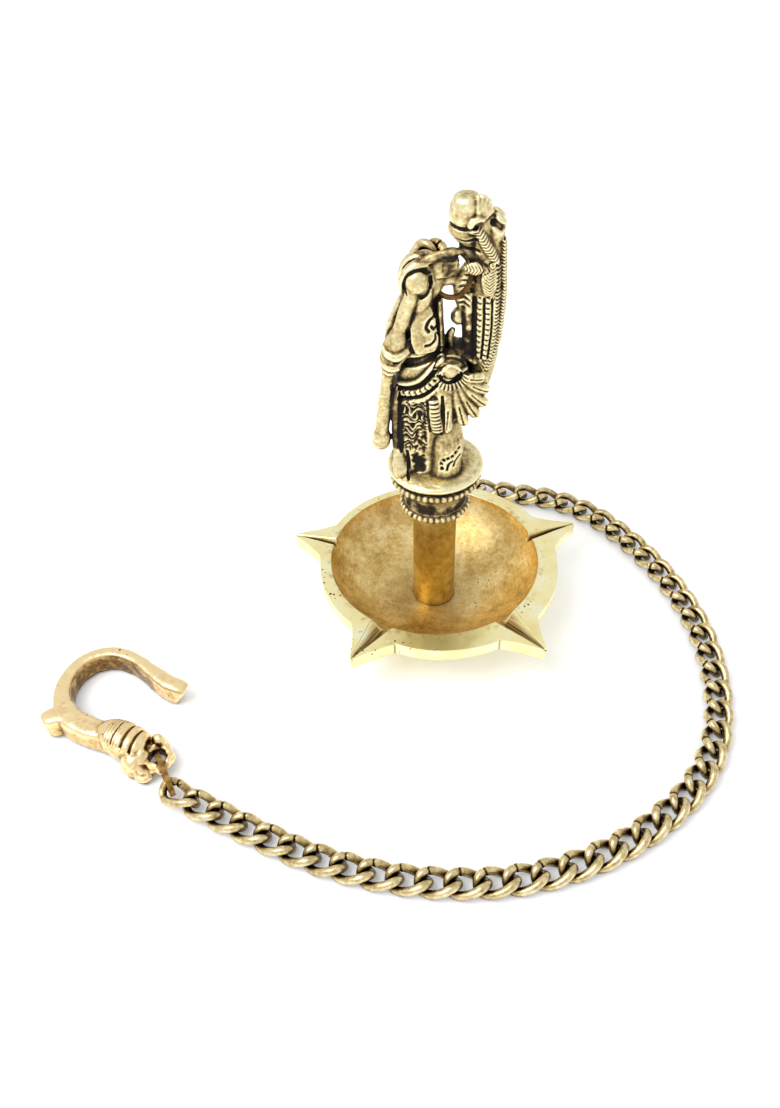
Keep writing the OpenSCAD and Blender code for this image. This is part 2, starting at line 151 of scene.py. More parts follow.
# Unevenness that the mould left, with none under the foot
points += [[0.12 * noise.noise(Vector(p) / 6), 0.12 * noise.noise(Vector(p) / 6 + Vector((9, 0, 0))),
            0.1 * noise.noise(Vector(p) / 7)] if p[2] > 1 else [0, 0, 0] for p in points]
faces = [f[::-1] for f in faces]
bowl = new_piece("bowl_casting", points, faces, "lamp", "polished_cast_brass")
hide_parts("bowl")
ring_of = np.minimum(np.arange(len(points)) // len(rays), len(rings))
on_rim = (ring_of >= CAVITY_RINGS) & (ring_of < TOP_RINGS)
filed_and_shaded = np.where(on_rim, np.clip((RIM_Z - points[:, 2] - 0.25) / 2.2, 0, 1), 0)
# Brown grain is left along the cavity's edge
from_edge = (ring_of - CAVITY_RINGS) / (TOP_RINGS - CAVITY_RINGS)
grain = np.array([noise.noise(Vector(p) / 2.2) for p in points])
near_edge = (from_edge >= 0) & (from_edge < 0.5)
filed_and_shaded = np.where(near_edge, np.maximum(filed_and_shaded, 0.9 * grain * (1 - from_edge * 2)), filed_and_shaded)
# Painted shade also darkens the wall in the corner where each lip's side meets it
corner_off = np.abs(np.abs(lip_off) - np.abs(lip_off)[side > RIM_R].max())
walled = (ring_of >= TOP_RINGS - 1) & (ring_of < TOP_RINGS + len(wall_drops))
filed_and_shaded[walled] = np.clip(1.1 - corner_off[np.arange(len(points))[walled] % len(rays)] / 0.6, 0, 1)
mark(bowl, "filed_and_shaded", filed_and_shaded)


def linear(code):
    """sRGB hex to a linear colour with alpha 1."""
    parts = [int(code[i:i + 2], 16) / 255 for i in (1, 3, 5)]
    return [p / 12.92 if p <= 0.04045 else ((p + 0.055) / 1.055) ** 2.4 for p in parts] + [1]


def join(tree, node, links):
    """Links a socket, or a node's first one, to each named input of a node."""
    for key, source in links.items():
        tree.links.new(source.outputs[0] if isinstance(source, bpy.types.Node) else source, node.inputs[key])


def add(tree, kind, links=None, stops=None, **settings):
    """Adds one shader node: a setting is its attribute or input, stops are a ramp's places and colours."""
    made = tree.nodes.new("ShaderNode" + kind)
    for key, value in settings.items():
        name = key.replace("_", " ")
        if hasattr(made, key):
            setattr(made, key, value)
        elif name in made.inputs:
            made.inputs[name].default_value = value
        else:
            made.inputs[int(key[1:])].default_value = value
    join(tree, made, links or {})
    for i, (place, code) in enumerate(stops or ()):
        ramp = made.color_ramp.elements
        spot = ramp[i] if i < 2 else ramp.new(place)
        spot.position, spot.color = place, linear(code)
    return made


def new_metal(name, **settings):
    """A material with one metal shader, and the object's own coordinates in metres."""
    made = bpy.data.materials.new(name)
    made.use_nodes = True
    tree = made.node_tree
    tree.nodes.clear()
    shader = add(tree, "BsdfPrincipled", Metallic=1.0, **settings)
    add(tree, "OutputMaterial", {"Surface": shader.outputs["BSDF"]})
    return made, tree, shader, add(tree, "TexCoord").outputs["Object"]


def pitted(tree, place, colour, spacing, width, tone):
    """A colour with dark casting pits in it, at a spacing in millimetres and as wide as a socket says."""
    pits = add(tree, "TexVoronoi", {"Vector": place}, Scale=1 / (spacing * MM))
    hole = add(tree, "Math", {0: pits, 1: width}, operation="LESS_THAN")
    return add(tree, "Mix", {"Factor": hole, 6: colour}, data_type="RGBA", _7=linear(tone)).outputs[2]


def shaded_in_corners(tree, colour, reach, stops, only_local=False):
    """A colour with painted shade multiplied into its corners, from so many millimetres round each place."""
    corner = add(tree, "AmbientOcclusion", Distance=reach * MM, samples=8, only_local=only_local)
    shade_tint = add(tree, "ValToRGB", {"Fac": corner.outputs["AO"]}, stops=stops)
    mixed = add(tree, "Mix", {6: colour, 7: shade_tint}, data_type="RGBA", blend_type="MULTIPLY", Factor=1.0)
    return mixed.outputs[2]


# Cast brass, filed flat and polished: pale yellow and bright, with black casting pits about half a
# millimetre wide in patches, brown file lines along the grooves, and painted shade in the grooves and
# where the lips grow out of the rim
rim_brass, tree, shader, place = new_metal("cast brass, filed and polished")
cloud = add(tree, "TexNoise", {"Vector": place}, Scale=1 / (14 * MM), Detail=4.0)
tint = add(tree, "ValToRGB", {"Fac": cloud}, stops=((0.3, "#f8e7a2"), (0.7, "#fffcd8"), (0.5, "#fff4b8")))
scored = add(tree, "TexNoise", {"Vector": place}, Scale=1 / (0.9 * MM), Detail=2.0)
spot = add(tree, "SeparateXYZ", {0: place})
round_stem = add(tree, "Math", {0: spot.outputs["Y"], 1: spot.outputs["X"]}, operation="ARCTAN2")
file_way = add(tree, "CombineXYZ", {"X": round_stem})
lines = add(tree, "TexNoise", {"Vector": file_way}, Scale=60.0, Detail=3.0)
streak = add(tree, "ValToRGB", {"Fac": lines},
             stops=((0.36, "#3b2810"), (0.68, "#ead6a0"), (0.5, "#a88648")))
# Filed marks and grain, together with painted shade in the corners of the lips, as kept in the bowl's points
cut = add(tree, "Attribute", attribute_name="filed_and_shaded").outputs["Fac"]
grooved = add(tree, "Mix", {"Factor": cut, 6: tint, 7: streak}, data_type="RGBA")
patch = add(tree, "TexNoise", {"Vector": place}, Scale=1 / (11 * MM), Detail=2.0)
pit_size = add(tree, "MapRange", {"Value": patch}, From_Min=0.45, From_Max=0.75, To_Max=0.24)
holed = pitted(tree, place, grooved.outputs[2], 2.6, pit_size, "#4a3414")
# Painted shade: occlusion darkens the grooves and corners of the rim
corner_shaded = shaded_in_corners(tree, holed, 3, ((0.4, "#4a3414"), (0.85, "#ffffff")), only_local=True)
wear = add(tree, "MapRange", {"Value": cloud}, To_Min=0.36, To_Max=0.2)
ripple = add(tree, "Bump", {"Height": scored}, Strength=0.25, Distance=0.12 * MM)
join(tree, shader, {"Base Color": corner_shaded, "Roughness": wear, "Normal": ripple})

# Cast brass, turned and stained by oil: satin golden brown in clouds, with faint arcs from the lathe 0.3 mm
# apart, drawn at 1.6 mm so that they show, dark specks half a millimetre wide, grey-brown where oil dried
# round the stem, painted shade in corners and on the front wall, and painted light on the back wall
dish_brass, tree, shader, place = new_metal("cast brass, turned and oil stained", Roughness=0.46)
cloud = add(tree, "TexNoise", {"Vector": place}, Scale=1 / (13 * MM), Detail=7.0, Roughness=0.68)
fine = add(tree, "TexNoise", {"Vector": place}, Scale=1 / (2.2 * MM), Detail=5.0, Roughness=0.7)
arcs = add(tree, "TexWave", {"Vector": place}, wave_type="RINGS", rings_direction="Z",
           Scale=math.pi / 10 / (1.6 * MM), Distortion=9.0, Detail=4.0, Detail_Scale=1.5)
blotch = add(tree, "Math", {0: fine, 2: cloud}, operation="MULTIPLY_ADD", _1=0.45)
mixed = add(tree, "Math", {0: arcs.outputs["Fac"], 2: blotch}, operation="MULTIPLY_ADD", _1=0.05)
# Painted shade and light: the cavity is darker towards the front wall and lighter towards the back
across = add(tree, "SeparateXYZ", {0: place})
front_shade_back_light = add(tree, "MapRange", {"Value": across.outputs["Y"]}, From_Min=-44 * MM, From_Max=44 * MM,
                  To_Min=-0.1, To_Max=0.06)
stained_and_shaded = add(tree, "Math", {0: mixed, 1: front_shade_back_light}, operation="ADD")
tint = add(tree, "ValToRGB", {"Fac": stained_and_shaded},
           stops=((0.5, "#a08146"), (0.95, "#fae8b0"), (0.72, "#d9ba74")))
flat = add(tree, "VectorMath", {0: place}, operation="MULTIPLY", _1=(1, 1, 0))
away = add(tree, "VectorMath", {0: flat}, operation="LENGTH")
dried = add(tree, "MapRange", {"Value": away.outputs["Value"]}, From_Min=12 * MM, From_Max=30 * MM,
            To_Min=0.6, To_Max=0.0)
thin = add(tree, "Math", {0: dried, 1: cloud}, operation="MULTIPLY")
dull_tint = add(tree, "Mix", {"Factor": thin, 6: tint}, data_type="RGBA", _7=linear("#80705a"))
pit_size = add(tree, "MapRange", {"Value": cloud}, From_Min=0.45, From_Max=0.7, To_Max=0.2)
holed = pitted(tree, place, dull_tint.outputs[2], 2.4, pit_size, "#6b4e22")
# Painted shade: occlusion darkens the cavity's corners and round the stem's foot
corner_shaded = shaded_in_corners(tree, holed, 5, ((0.25, "#3a2810"), (0.65, "#ffffff")))
ripple = add(tree, "Bump", {"Height": mixed}, Strength=0.3, Distance=0.12 * MM)
join(tree, shader, {"Base Color": corner_shaded, "Normal": ripple})
bowl.data.materials.append(rim_brass)
bowl.data.materials.append(dish_brass)
inside = [all(i < CAVITY_RINGS * len(rays) or i == len(points) - 2 for i in f) for f in faces]
bowl.data.polygons.foreach_set("material_index", [int(i) for i in inside])


# The stem: a length of round brass bar, turned smooth, with a slight flare where it stands on the bowl's
# floor. It is screwed into the floor of the bowl and into the collar above.
def turned(profile, sides=96):
    """Rings of a profile of radius and height, turned about the z axis."""
    profile = np.asarray(profile, float)
    turn = np.linspace(0, 2 * np.pi, sides, endpoint=False)
    return np.stack([np.outer(profile[:, 0], np.cos(turn)), np.outer(profile[:, 0], np.sin(turn)),
                     np.tile(profile[:, 1:], (1, sides))], axis=2)


stem_profile = [[9.2, 4.6], [9.9, 4.8], [9.9, 5.6], [9.75, 6.2], [9.7, 14], [9.65, 30], [9.7, 50],
                [9.8, 59], [9.8, 60]]
stem = new_piece("stem_bar", *skin(turned(stem_profile)), "lamp", "polished_cast_brass")
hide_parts("stem")
# Brass bar, turned and lacquered: warm gold with a soft sheen, and the tool's rings 0.2 mm apart, drawn at
# 0.8 mm so that they show, with painted shade where it meets the bowl and the collar
bar_brass, tree, shader, place = new_metal("brass bar, turned and lacquered", Roughness=0.36)
bands = add(tree, "TexWave", {"Vector": place}, wave_type="BANDS", bands_direction="Z",
            Scale=math.pi / 10 / (0.8 * MM), Distortion=2.0, Detail=2.0)
cloud = add(tree, "TexNoise", {"Vector": place}, Scale=1 / (6 * MM), Detail=7.0, Roughness=0.7)
tint = add(tree, "ValToRGB", {"Fac": cloud}, stops=((0.3, "#7d5c26"), (0.68, "#e6c97e"), (0.44, "#bf9f52")))
# Painted shade: occlusion darkens the bar where it meets the bowl and the collar
corner_shaded = shaded_in_corners(tree, tint, 6, ((0.2, "#3a2810"), (0.7, "#ffffff")))
ripple = add(tree, "Bump", {"Height": bands.outputs["Fac"]}, Strength=0.15, Distance=0.1 * MM)
join(tree, shader, {"Base Color": corner_shaded, "Normal": ripple})
stem.data.materials.append(bar_brass)


# The finial: a sacred goose cast in brass by the lost-wax way with its pedestal and collar, washed dark and
# then rubbed bright on the high places. It is screwed on the stem and carries the ring on a bridge behind
# its neck.
def smooth_path(rows, steps):
    """Rows of numbers, drawn smoothly through with steps between each two."""
    rows = np.asarray(rows, float)
    run = np.vstack([2 * rows[0] - rows[1], rows, 2 * rows[-1] - rows[-2]])
    part = np.linspace(0, 1, steps, endpoint=False)[:, None]
    drawn = []
    for a, b, c, d in zip(run[:-3], run[1:-2], run[2:-1], run[3:]):
        drawn.append(0.5 * (2 * b + (c - a) * part + (2 * a - 5 * b + 4 * c - d) * part ** 2
                            + (3 * b - a - 3 * c + d) * part ** 3))
    return np.vstack(drawn + [rows[-1:]])


def sweep(rows, sides=18, steps=5, level=False, deep_way=(0, 1, 0), corner=1.0):
    """Solid along rows of x, y, z, half width and half depth; level keeps its sections flat."""
    rows = smooth_path(rows, steps)
    middle, wide, deep = rows[:, :3], np.maximum(rows[:, 3], 0.05), np.maximum(rows[:, 4], 0.05)
    way = np.gradient(middle, axis=0)
    way /= np.linalg.norm(way, axis=1)[:, None]
    if level:
        way = np.tile([0.0, 0.0, 1.0], (len(rows), 1))
    side = np.cross(way, deep_way)
    side /= np.linalg.norm(side, axis=1)[:, None]
    out = np.cross(side, way)
    turn = np.linspace(0, 2 * np.pi, sides, endpoint=False)
    cos, sin = (np.sign(v) * np.abs(v) ** corner for v in (np.cos(turn), np.sin(turn)))
    return skin(middle[:, None] + (wide[:, None] * cos)[:, :, None] * side[:, None]
                + (deep[:, None] * sin)[:, :, None] * out[:, None])


# Main masses, as rows of x, y, z, half width and half depth: body and neck, tail plume, top bud, the head's
# crown, the sheet behind it and the plume's inner strip
body_rows = [[-3, 0, 84, 15, 11.5], [-5, 0, 90, 13, 10], [-6, 0, 97, 12.2, 9.2], [-5.5, 0, 106, 12.8, 9.6],
             [-1.5, 0, 114, 16.5, 11], [0.2, 0, 121, 17.2, 12], [-0.4, 0, 128, 16, 11.4],
             [-4, 0, 134, 11.8, 9.8], [-5.2, 0, 140, 8.6, 8], [-5.2, 0, 148, 7, 6.8],
             [-5.6, 0, 154, 6, 6.2], [-6.4, 0, 160, 5.2, 5.4], [-6.2, 0, 166, 5, 4.6],
             [-5.6, 0, 171, 4.6, 4.2], [-4.8, 0, 175, 3.8, 3.8], [-4.6, 0, 178, 2.2, 2.2]]
tail_rows = [[14, 0, 116, 5, 7.5], [16, 0, 124, 4.6, 7.6], [17.3, 0, 132, 5.2, 7.4], [18.2, 0, 144, 6, 7.2],
             [18.4, 0, 160, 6.2, 7], [18.4, 0, 174, 6, 6.6], [17.8, 0, 183, 6.4, 6.2],
             [15.6, 0, 189, 6.2, 5.6], [14.5, 0, 195, 4.5, 4.4]]
bud_rows = [[11, 0, 182, 2.6, 3.2], [9.8, 0, 185, 4.2, 4.4], [9.2, 0, 187.2, 5.6, 5.8],
            [9, 0, 189.6, 5.7, 5.8], [9, 0, 190.8, 5.1, 5.2], [9, 0, 193, 5.5, 5.6],
            [9.3, 0, 196.6, 5.6, 5.7], [9.5, 0, 199.2, 5, 5.2], [9.7, 0, 200.6, 3.8, 4],
            [9.8, 0, 201, 1.6, 1.6]]
crown_rows = [[-4, -1, 162.6, 3.4, 2.4], [-2.6, -1, 166.6, 4.6, 2.8], [-2.4, -1, 171.6, 4.9, 2.8],
              [-3.4, -1, 175.6, 4.4, 2.6], [-4, -1, 178.2, 2, 1.6]]
mantle_rows = [[1, -3.1, 171.4, 3, 1.2], [2.4, -3.3, 174, 4.6, 1.3], [2.6, -3.3, 177, 5, 1.3],
               [2.4, -3.3, 179.6, 4.4, 1.3], [2.2, -3.3, 181, 2.6, 0.9]]
inner_rows = [[12.2, 0, 137, 2.6, 4.4], [11.8, 0, 148, 2.5, 4.6], [11.5, 0, 157, 2.5, 4.4],
              [11.6, 0, 165, 2.8, 4.2]]
masses = (body_rows, tail_rows, bud_rows, crown_rows, mantle_rows, inner_rows)
shells = [sweep(rows, 36, 6, level=True) for rows in masses]
# Crest that runs from the head to the bud, bridge, hanging foliage with its bud, twisted neck under the top
# bud, and the scrolls on the back
shells += [sweep(rows) for rows in (
    [[-11, -2.6, 173.2, 1.4, 1.2], [-8.4, -3.2, 175.6, 1.7, 1.4], [-4, -3.4, 178.4, 1.7, 1.5],
     [0, -3.4, 180, 1.6, 1.5], [4, -3.2, 180.9, 1.4, 1.4], [8, -2.4, 181, 1.3, 1.3],
     [10.6, -1.4, 181, 1.3, 1.3]],
    [[-8, 0, 169, 2.3, 2.3], [3, 0, 169, 2.3, 2.3], [14, 0, 169, 2.3, 2.3]],
    [[7.6, 0, 150.2, 0.8, 1], [7.8, 0, 152.4, 3, 3], [8.2, 0, 154.8, 2.9, 3], [9, 0, 157, 1.8, 2],
     [9.2, 0, 160.4, 3, 2.8], [9.4, 0, 164, 3.9, 3.4], [9.8, 0, 168, 4.3, 3.8], [11.6, 0, 172, 3.6, 3.8],
     [14.5, 0, 175, 2.8, 3.4]],
    [[9.4, 0, 187, 3.6, 4], [9.6, 0, 183, 2.6, 3.4], [11, 0, 180, 2.8, 4], [14, 0, 178, 3, 4.4]],
    [[3, 0, 134, 2, 7], [6, 0, 138.4, 2.2, 7], [10, 0, 139.6, 2.2, 7], [14.5, 0, 136.5, 2.4, 7]],
    [[6.6, 0, 138, 1.6, 2], [5, 0, 142.5, 1.4, 1.8], [4.9, 0, 146, 1.5, 1.6], [6.2, 0, 148.6, 1, 1.2]],
    [[0.4, 0, 162, 1.4, 4.4], [0.9, 0, 152, 1.5, 5.4], [1.4, 0, 141, 1.6, 6.6]])]
# Wavy band below the beak
shells += [sweep([[-12.6, -1.4, 164, 1.2, 1.8], [-14.4, -1.4, 160, 1.7, 1.8], [-16.4, -1.6, 156.6, 1.2, 1.6],
                  [-17.2, -1.8, 153, 1.9, 1.8], [-19, -2, 149.6, 1.1, 1.4], [-18.6, -2.4, 144, 1.4, 1.4]])]
# Garland from the beak: a stem, a knot tied round it, and a bulb at its end
shells += [sweep(rows) for rows in (
    [[-8.8, -4.8, 170, 2.6, 2.6], [-11, -5.2, 162.6, 2.8, 2.6], [-14.8, -5.2, 150.6, 2.7, 2.6],
     [-17, -4.8, 141, 2.6, 2.6], [-19.3, -4.5, 131, 2.4, 2.4], [-21.2, -4.5, 115, 2.8, 2.7],
     [-22.3, -4.6, 104, 2.9, 2.9]],
    [[-22.2, -4.5, 105, 2.7, 2.7], [-22.4, -4.6, 103, 3.6, 3.6], [-22.7, -4.7, 100, 3.8, 3.8],
     [-22.9, -4.8, 97.6, 3.2, 3.2], [-23, -4.8, 96.2, 1.4, 1.4]],
    [[-14.4, -5, 151.8, 2.6, 2.6], [-15.4, -5.2, 148.2, 3.9, 3.6], [-16.6, -5, 143.4, 4.8, 4.4],
     [-17.8, -4.8, 138.4, 4.6, 4.3], [-18.8, -4.6, 134.8, 3.2, 3.1], [-19.3, -4.6, 132.6, 2.5, 2.5]],
    [[-21, -5.2, 144.8, 1.2, 1.4], [-19.2, -8.6, 143, 1.6, 1.6], [-15.8, -9.8, 142.2, 1.7, 1.6],
     [-12.2, -7.6, 143.4, 1.6, 1.6], [-10.8, -3.6, 145.4, 1.4, 1.6]],
    [[-21.8, -4.6, 139.4, 1, 1.3], [-19.8, -8, 137.4, 1.4, 1.4], [-16.4, -9, 137, 1.5, 1.4],
     [-13.2, -6.6, 138.2, 1.3, 1.4], [-12.4, -3.6, 139.6, 1.2, 1.4]],
    [[-13.4, -3, 148.4, 1.2, 2.2], [-10.6, -3.4, 145.6, 1.4, 2.6], [-10.2, -3.4, 140, 1.4, 2.6],
     [-12.6, -3, 135.6, 1.2, 2.2], [-16, -2, 133, 1, 2]],
    [[-21, -4.8, 134.6, 0.9, 1.1], [-19, -7.2, 133.6, 1.1, 1.1], [-16.6, -5.6, 133.4, 1, 1.1]],
    [[-17.5, -1, 138, 2.5, 2.5], [-9, 0, 136, 3, 3]],
    [[-20.6, -2.5, 110, 1.5, 1.5], [-10, 0, 112, 2.5, 2.5]])]
# Wing feathers, spread from a hub
hub = np.array([4.7, 134.5])
feathers = []
for turn, length in ((-93, 26), (-76, 23.6), (-61, 21.6), (-45, 19.4), (-27, 16.2), (-8, 12.6)):
    way = np.array([math.cos(math.radians(turn)), math.sin(math.radians(turn))])
    inner, middle, outer, tip = (hub + way * r for r in (5, length * 0.6, length - 1.2, length))
    feathers.append([[inner[0], -8.2, inner[1], 1.3, 1.8], [middle[0], -11.3, middle[1], 2, 1.7],
                     [outer[0], -10.9, outer[1], 2.4, 1.7], [tip[0], -10.2, tip[1], 1.9, 1.1]])
# Ornament that stands on both faces alike
leaves = feathers + [
    # Ball in the beak, beak curled round it, throat behind
    [[-7.9, -4.4, 166, 1.6, 1.4], [-7.9, -4.4, 168, 3.9, 3.6], [-8, -4.4, 171, 4.5, 4.1],
     [-8.2, -4.4, 174, 3.7, 3.4], [-8.3, -4.4, 175.4, 1.4, 1.2]],
    [[-4.2, -2.4, 176.8, 1.6, 2.4], [-8, -3.2, 176.8, 1.5, 2.4], [-11.4, -3.6, 175, 1.3, 2.2],
     [-13.3, -3.6, 171.6, 1.2, 2], [-13.7, -3.2, 167.6, 1.1, 1.8], [-12.8, -2.6, 163.6, 0.9, 1.6]],
    [[-3.6, -4, 168.4, 1.4, 1.4], [-5, -4.8, 165, 2.8, 2], [-6.6, -5.2, 161.4, 2.4, 1.8],
     [-8.4, -5, 158.4, 0.9, 1]],
    # Neck shield
    [[-4.6, -4.6, 162, 1.4, 1], [-5.2, -5.6, 157, 4, 1.6], [-5.6, -6.4, 151, 5.4, 1.8],
     [-5.6, -7, 146, 5.8, 1.8], [-5.2, -7.4, 142.6, 4.4, 1.2]],
    # Ladder strip down the leg, and the thigh behind it
    [[-2.2, -10.4, 124.5, 1.6, 1.6], [-1.4, -11.4, 119, 2.5, 1.9], [-0.6, -10.6, 112, 2.5, 1.9],
     [0.2, -9.4, 106.6, 2, 1.6]],
    [[3.4, -3.5, 110, 4, 4], [4.4, -5, 104, 6, 5.6], [4.6, -6, 97, 6.6, 6.4], [4, -7, 90, 6.2, 6.4],
     [3.4, -7, 85, 7.4, 7.4]],
    # Edge strip of the breast, and the lump of the left foot
    [[-15.4, -5, 127, 1, 1.6], [-16.6, -5.6, 119, 1.5, 2], [-16.8, -5, 108, 1.5, 2],
     [-16.4, -5, 97, 1.5, 2], [-15.2, -6, 88, 2.2, 2.4]],
    [[-15.6, -6, 96, 1.4, 1.6], [-15.4, -7.6, 91, 3, 2.8], [-14.6, -8.6, 86.6, 3.6, 3.4],
     [-14.4, -8.6, 83.4, 2, 2]],
    # Pointed leaf beside the ring, leaf on the plume, slanting barbed strip
    [[8.4, -4.2, 175.6, 0.3, 0.6], [11, -5.6, 176, 2.2, 1.5], [13.6, -6.2, 176, 2.5, 1.7],
     [16.6, -6.4, 175.6, 0.5, 0.8]],
    [[19.2, -6, 177.4, 1.6, 1], [18, -6.6, 172.8, 3, 1.5], [18.2, -6.6, 168, 2.6, 1.4],
     [18.8, -6.6, 163.4, 0.6, 0.8]],
    [[12.8, -4.8, 190, 1.5, 1.4], [15, -5.4, 187, 1.9, 1.5], [17.6, -5.8, 183, 2, 1.5],
     [20.4, -6, 178, 1.3, 1.2]],
    # Scroll under the fan and the turned-up end of the plume
    [[15.6, -5.2, 193.6, 0.8, 1], [13, -5.6, 194, 1.1, 1.2], [10.8, -5.8, 192.4, 1.2, 1.2],
     [11.2, -5.8, 190, 1.2, 1.2], [13.6, -5.4, 189.4, 1.1, 1.2]],
    [[18.6, -2.5, 183, 3.4, 3.4], [19.8, -2.6, 188, 3.2, 3.2], [21.2, -2.6, 192.6, 2.8, 2.8],
     [21.8, -2.6, 193.6, 1.6, 1.6]],
    # Edge rope of the plume
    [[22.9, -3.4, 186, 1, 2], [23.4, -3.4, 174.6, 1.1, 2.2], [24, -3.4, 166, 1.1, 2.2],
     [23.6, -3.4, 154, 1.1, 2.2], [22.4, -3.4, 143.6, 1.1, 2.2], [18.6, -3.4, 134, 1.1, 2.2]]]
for rows in leaves:
    rows = np.asarray(rows, float)
    shells += [sweep(rows), sweep(rows * [1, -1, 1, 1, 1])]
# Fan beside the top bud, taller on the near face
for side, drop in ((-1, 0), (1, 3.6)):
    for x, z in ((13, 201.6), (14.6, 201.9), (16.1, 201.4), (17.3, 200.2), (18, 198.4), (18.2, 196.3)):
        shells.append(sweep([[12.6, side * 4.2, 191.8, 0.5, 1.2],
                             [(12.6 + x) / 2 + 0.4, side * 4.2, (191.8 + z - drop) / 2, 0.75, 1.5],
                             [x, side * 3.2, z - drop, 0.75, 1.3]]))
# Wing boss on each face: a dome in a ribbed ring
boss_profile = [[6.6, 2], [6.7, 8.6], [6.2, 9.8], [5.1, 9.8], [4.6, 8.2], [3.6, 8.2], [3.2, 9.8],
                [2.4, 10.8], [1.2, 11.2], [0.05, 11.3]]
for side in (-1, 1):
    points, faces = skin(turned(boss_profile, 64))
    points[:, 1] += np.where(np.hypot(points[:, 0], points[:, 1]) < 4, 1.2, 0)
    points = np.stack([points[:, 0] + hub[0], side * points[:, 2], points[:, 1] + hub[1]], axis=1)
    shells.append((points, faces if side > 0 else [f[::-1] for f in faces]))
    lid = [[hub[0] + 4 * math.cos(t), side * 9.4, hub[1] + 4.2 * math.sin(t), 1.5, 1.5]
           for t in np.linspace(0.1, 3.04, 7)]
    shells.append(sweep(lid))
# Collar: two beaded rings with a hollow between, under the domed disc of the pedestal
collar_profile = [[13, 60], [13.2, 60.2], [14, 61], [14.2, 62], [14.2, 64.2], [13.2, 65.2], [12.6, 66.4],
                  [12.6, 69], [13.2, 71.6], [14.6, 73.8], [16.6, 75.2], [17.8, 75.8], [18.1, 76.6],
                  [18.1, 80], [17, 80.6], [16.6, 81], [16.6, 82], [19.2, 82.1], [20.2, 82.5], [20.6, 83.2],
                  [20.5, 84], [19.8, 84.8], [17, 85.8], [12, 86.6], [4, 87], [0.1, 87]]
shells.append(skin(turned(collar_profile, 128)))
LOW_BEADS_Z, TOP_BEADS_Z = 62.8, 78.2
uneven = np.random.default_rng(3)
for ring_r, ring_z, size, many in ((14.2, LOW_BEADS_Z, 1.3, 36), (18.3, TOP_BEADS_Z, 1.4, 44)):
    for i in range(many):
        turn = 2 * math.pi * (i + uneven.uniform(-0.12, 0.12)) / many
        bead_r = size * uneven.uniform(0.85, 1.12)
        profile = [[bead_r * math.sin(t) ** 0.6, -bead_r * 1.2 * math.cos(t)]
                   for t in np.linspace(0.05, 3.09, 8)]
        shells.append(skin(turned(profile, 12) + [ring_r * math.cos(turn), ring_r * math.sin(turn), ring_z]))


def gather(parts):
    """Points and faces of several solids as one list each."""
    points, faces, base = [], [], 0
    for some, own in parts:
        points.append(some)
        faces += [tuple(i + base for i in f) for f in own]
        base += len(some)
    return np.vstack(points), faces


def fuse(parts, grain):
    """One skin over several solids, as a mould leaves them, with its edges and four-cornered faces."""
    wax = bpy.data.meshes.new("wax")
    points, faces = gather(parts)
    wax.from_pydata(points.tolist(), [], faces)
    wax_object = bpy.data.objects.new("wax", wax)
    bpy.context.collection.objects.link(wax_object)
    melt = wax_object.modifiers.new("melt", "REMESH")
    melt.mode = "VOXEL"
    melt.voxel_size = grain
    mesh = bpy.data.meshes.new_from_object(wax_object.evaluated_get(bpy.context.evaluated_depsgraph_get()))
    bpy.data.objects.remove(wax_object)
    points, edges = np.empty(len(mesh.vertices) * 3), np.empty(len(mesh.edges) * 2, int)
    mesh.vertices.foreach_get("co", points)
    mesh.edges.foreach_get("vertices", edges)
    return points.reshape(-1, 3), edges.reshape(-1, 2), np.array([tuple(p.vertices) for p in mesh.polygons])


def relaxed(points, edges, times, share=0.5):
    """Points drawn towards the middle of their neighbours a number of times."""
    count = len(points)
    many = np.bincount(edges.ravel(), minlength=count)[:, None]
    one, other = edges.T
    for _ in range(times):
        total = np.stack([np.bincount(one, points[other, i], count)
                          + np.bincount(other, points[one, i], count) for i in range(3)], axis=1)
        points = points + share * (total / many - points)
    return points


def outward_of(points, faces):
    """Outward way of the skin at each point."""
    across = np.cross(points[faces[:, 2]] - points[faces[:, 0]], points[faces[:, 3]] - points[faces[:, 1]])
    total = np.stack([sum(np.bincount(faces[:, i], across[:, j], len(points)) for i in range(4))
                      for j in range(3)], axis=1)
    return total / np.maximum(np.linalg.norm(total, axis=1), 1e-9)[:, None]


def high_places(points, edges, faces):
    """How far each point stands out of the skin round it, from 0 in a hollow to 1 on a ridge."""
    outward = outward_of(points, faces)
    fine = ((points - relaxed(points, edges, 6)) * outward).sum(1)
    broad = ((points - relaxed(points, edges, 40)) * outward).sum(1)
    return np.clip(0.5 + fine * 1.6 + broad * 0.55, 0, 1)


points, edges, faces = fuse(shells, grain=0.38)
points = relaxed(points, edges, 3)
outward = outward_of(points, faces)
lift = np.zeros(len(points))


def press(path, half, rise, pitch=0.0, cut=0.0, slant=0.0):
    """Raises the skin along a path of x and z; marks every pitch are cut across it, slanted like barbs."""
    path = smooth_path(path, 5)
    flat = points[:, [0, 2]]
    here = np.where(((flat > path.min(0) - half) & (flat < path.max(0) + half)).all(1))[0]
    far, along, run = np.full(len(here), 99.0), np.zeros(len(here)), 0.0
    for a, b in zip(path[:-1], path[1:]):
        step = b - a
        length = np.linalg.norm(step)
        share = np.clip((flat[here] - a) @ step / length ** 2, 0, 1)
        gap = np.linalg.norm(flat[here] - a - share[:, None] * step, axis=1)
        closer = gap < far
        far[closer], along[closer] = gap[closer], run + share[closer] * length
        run += length
    height = np.clip(1.4 * (1 - (far / half) ** 2), 0, 1)
    amount = rise * height
    if pitch:
        amount -= cut * height * (0.5 + 0.5 * np.cos(2 * np.pi * (along + slant * far) / pitch)) ** 2
    lift[here] += amount


def within(values, low, high):
    """Which values lie between two others."""
    return (values > low) & (values < high)


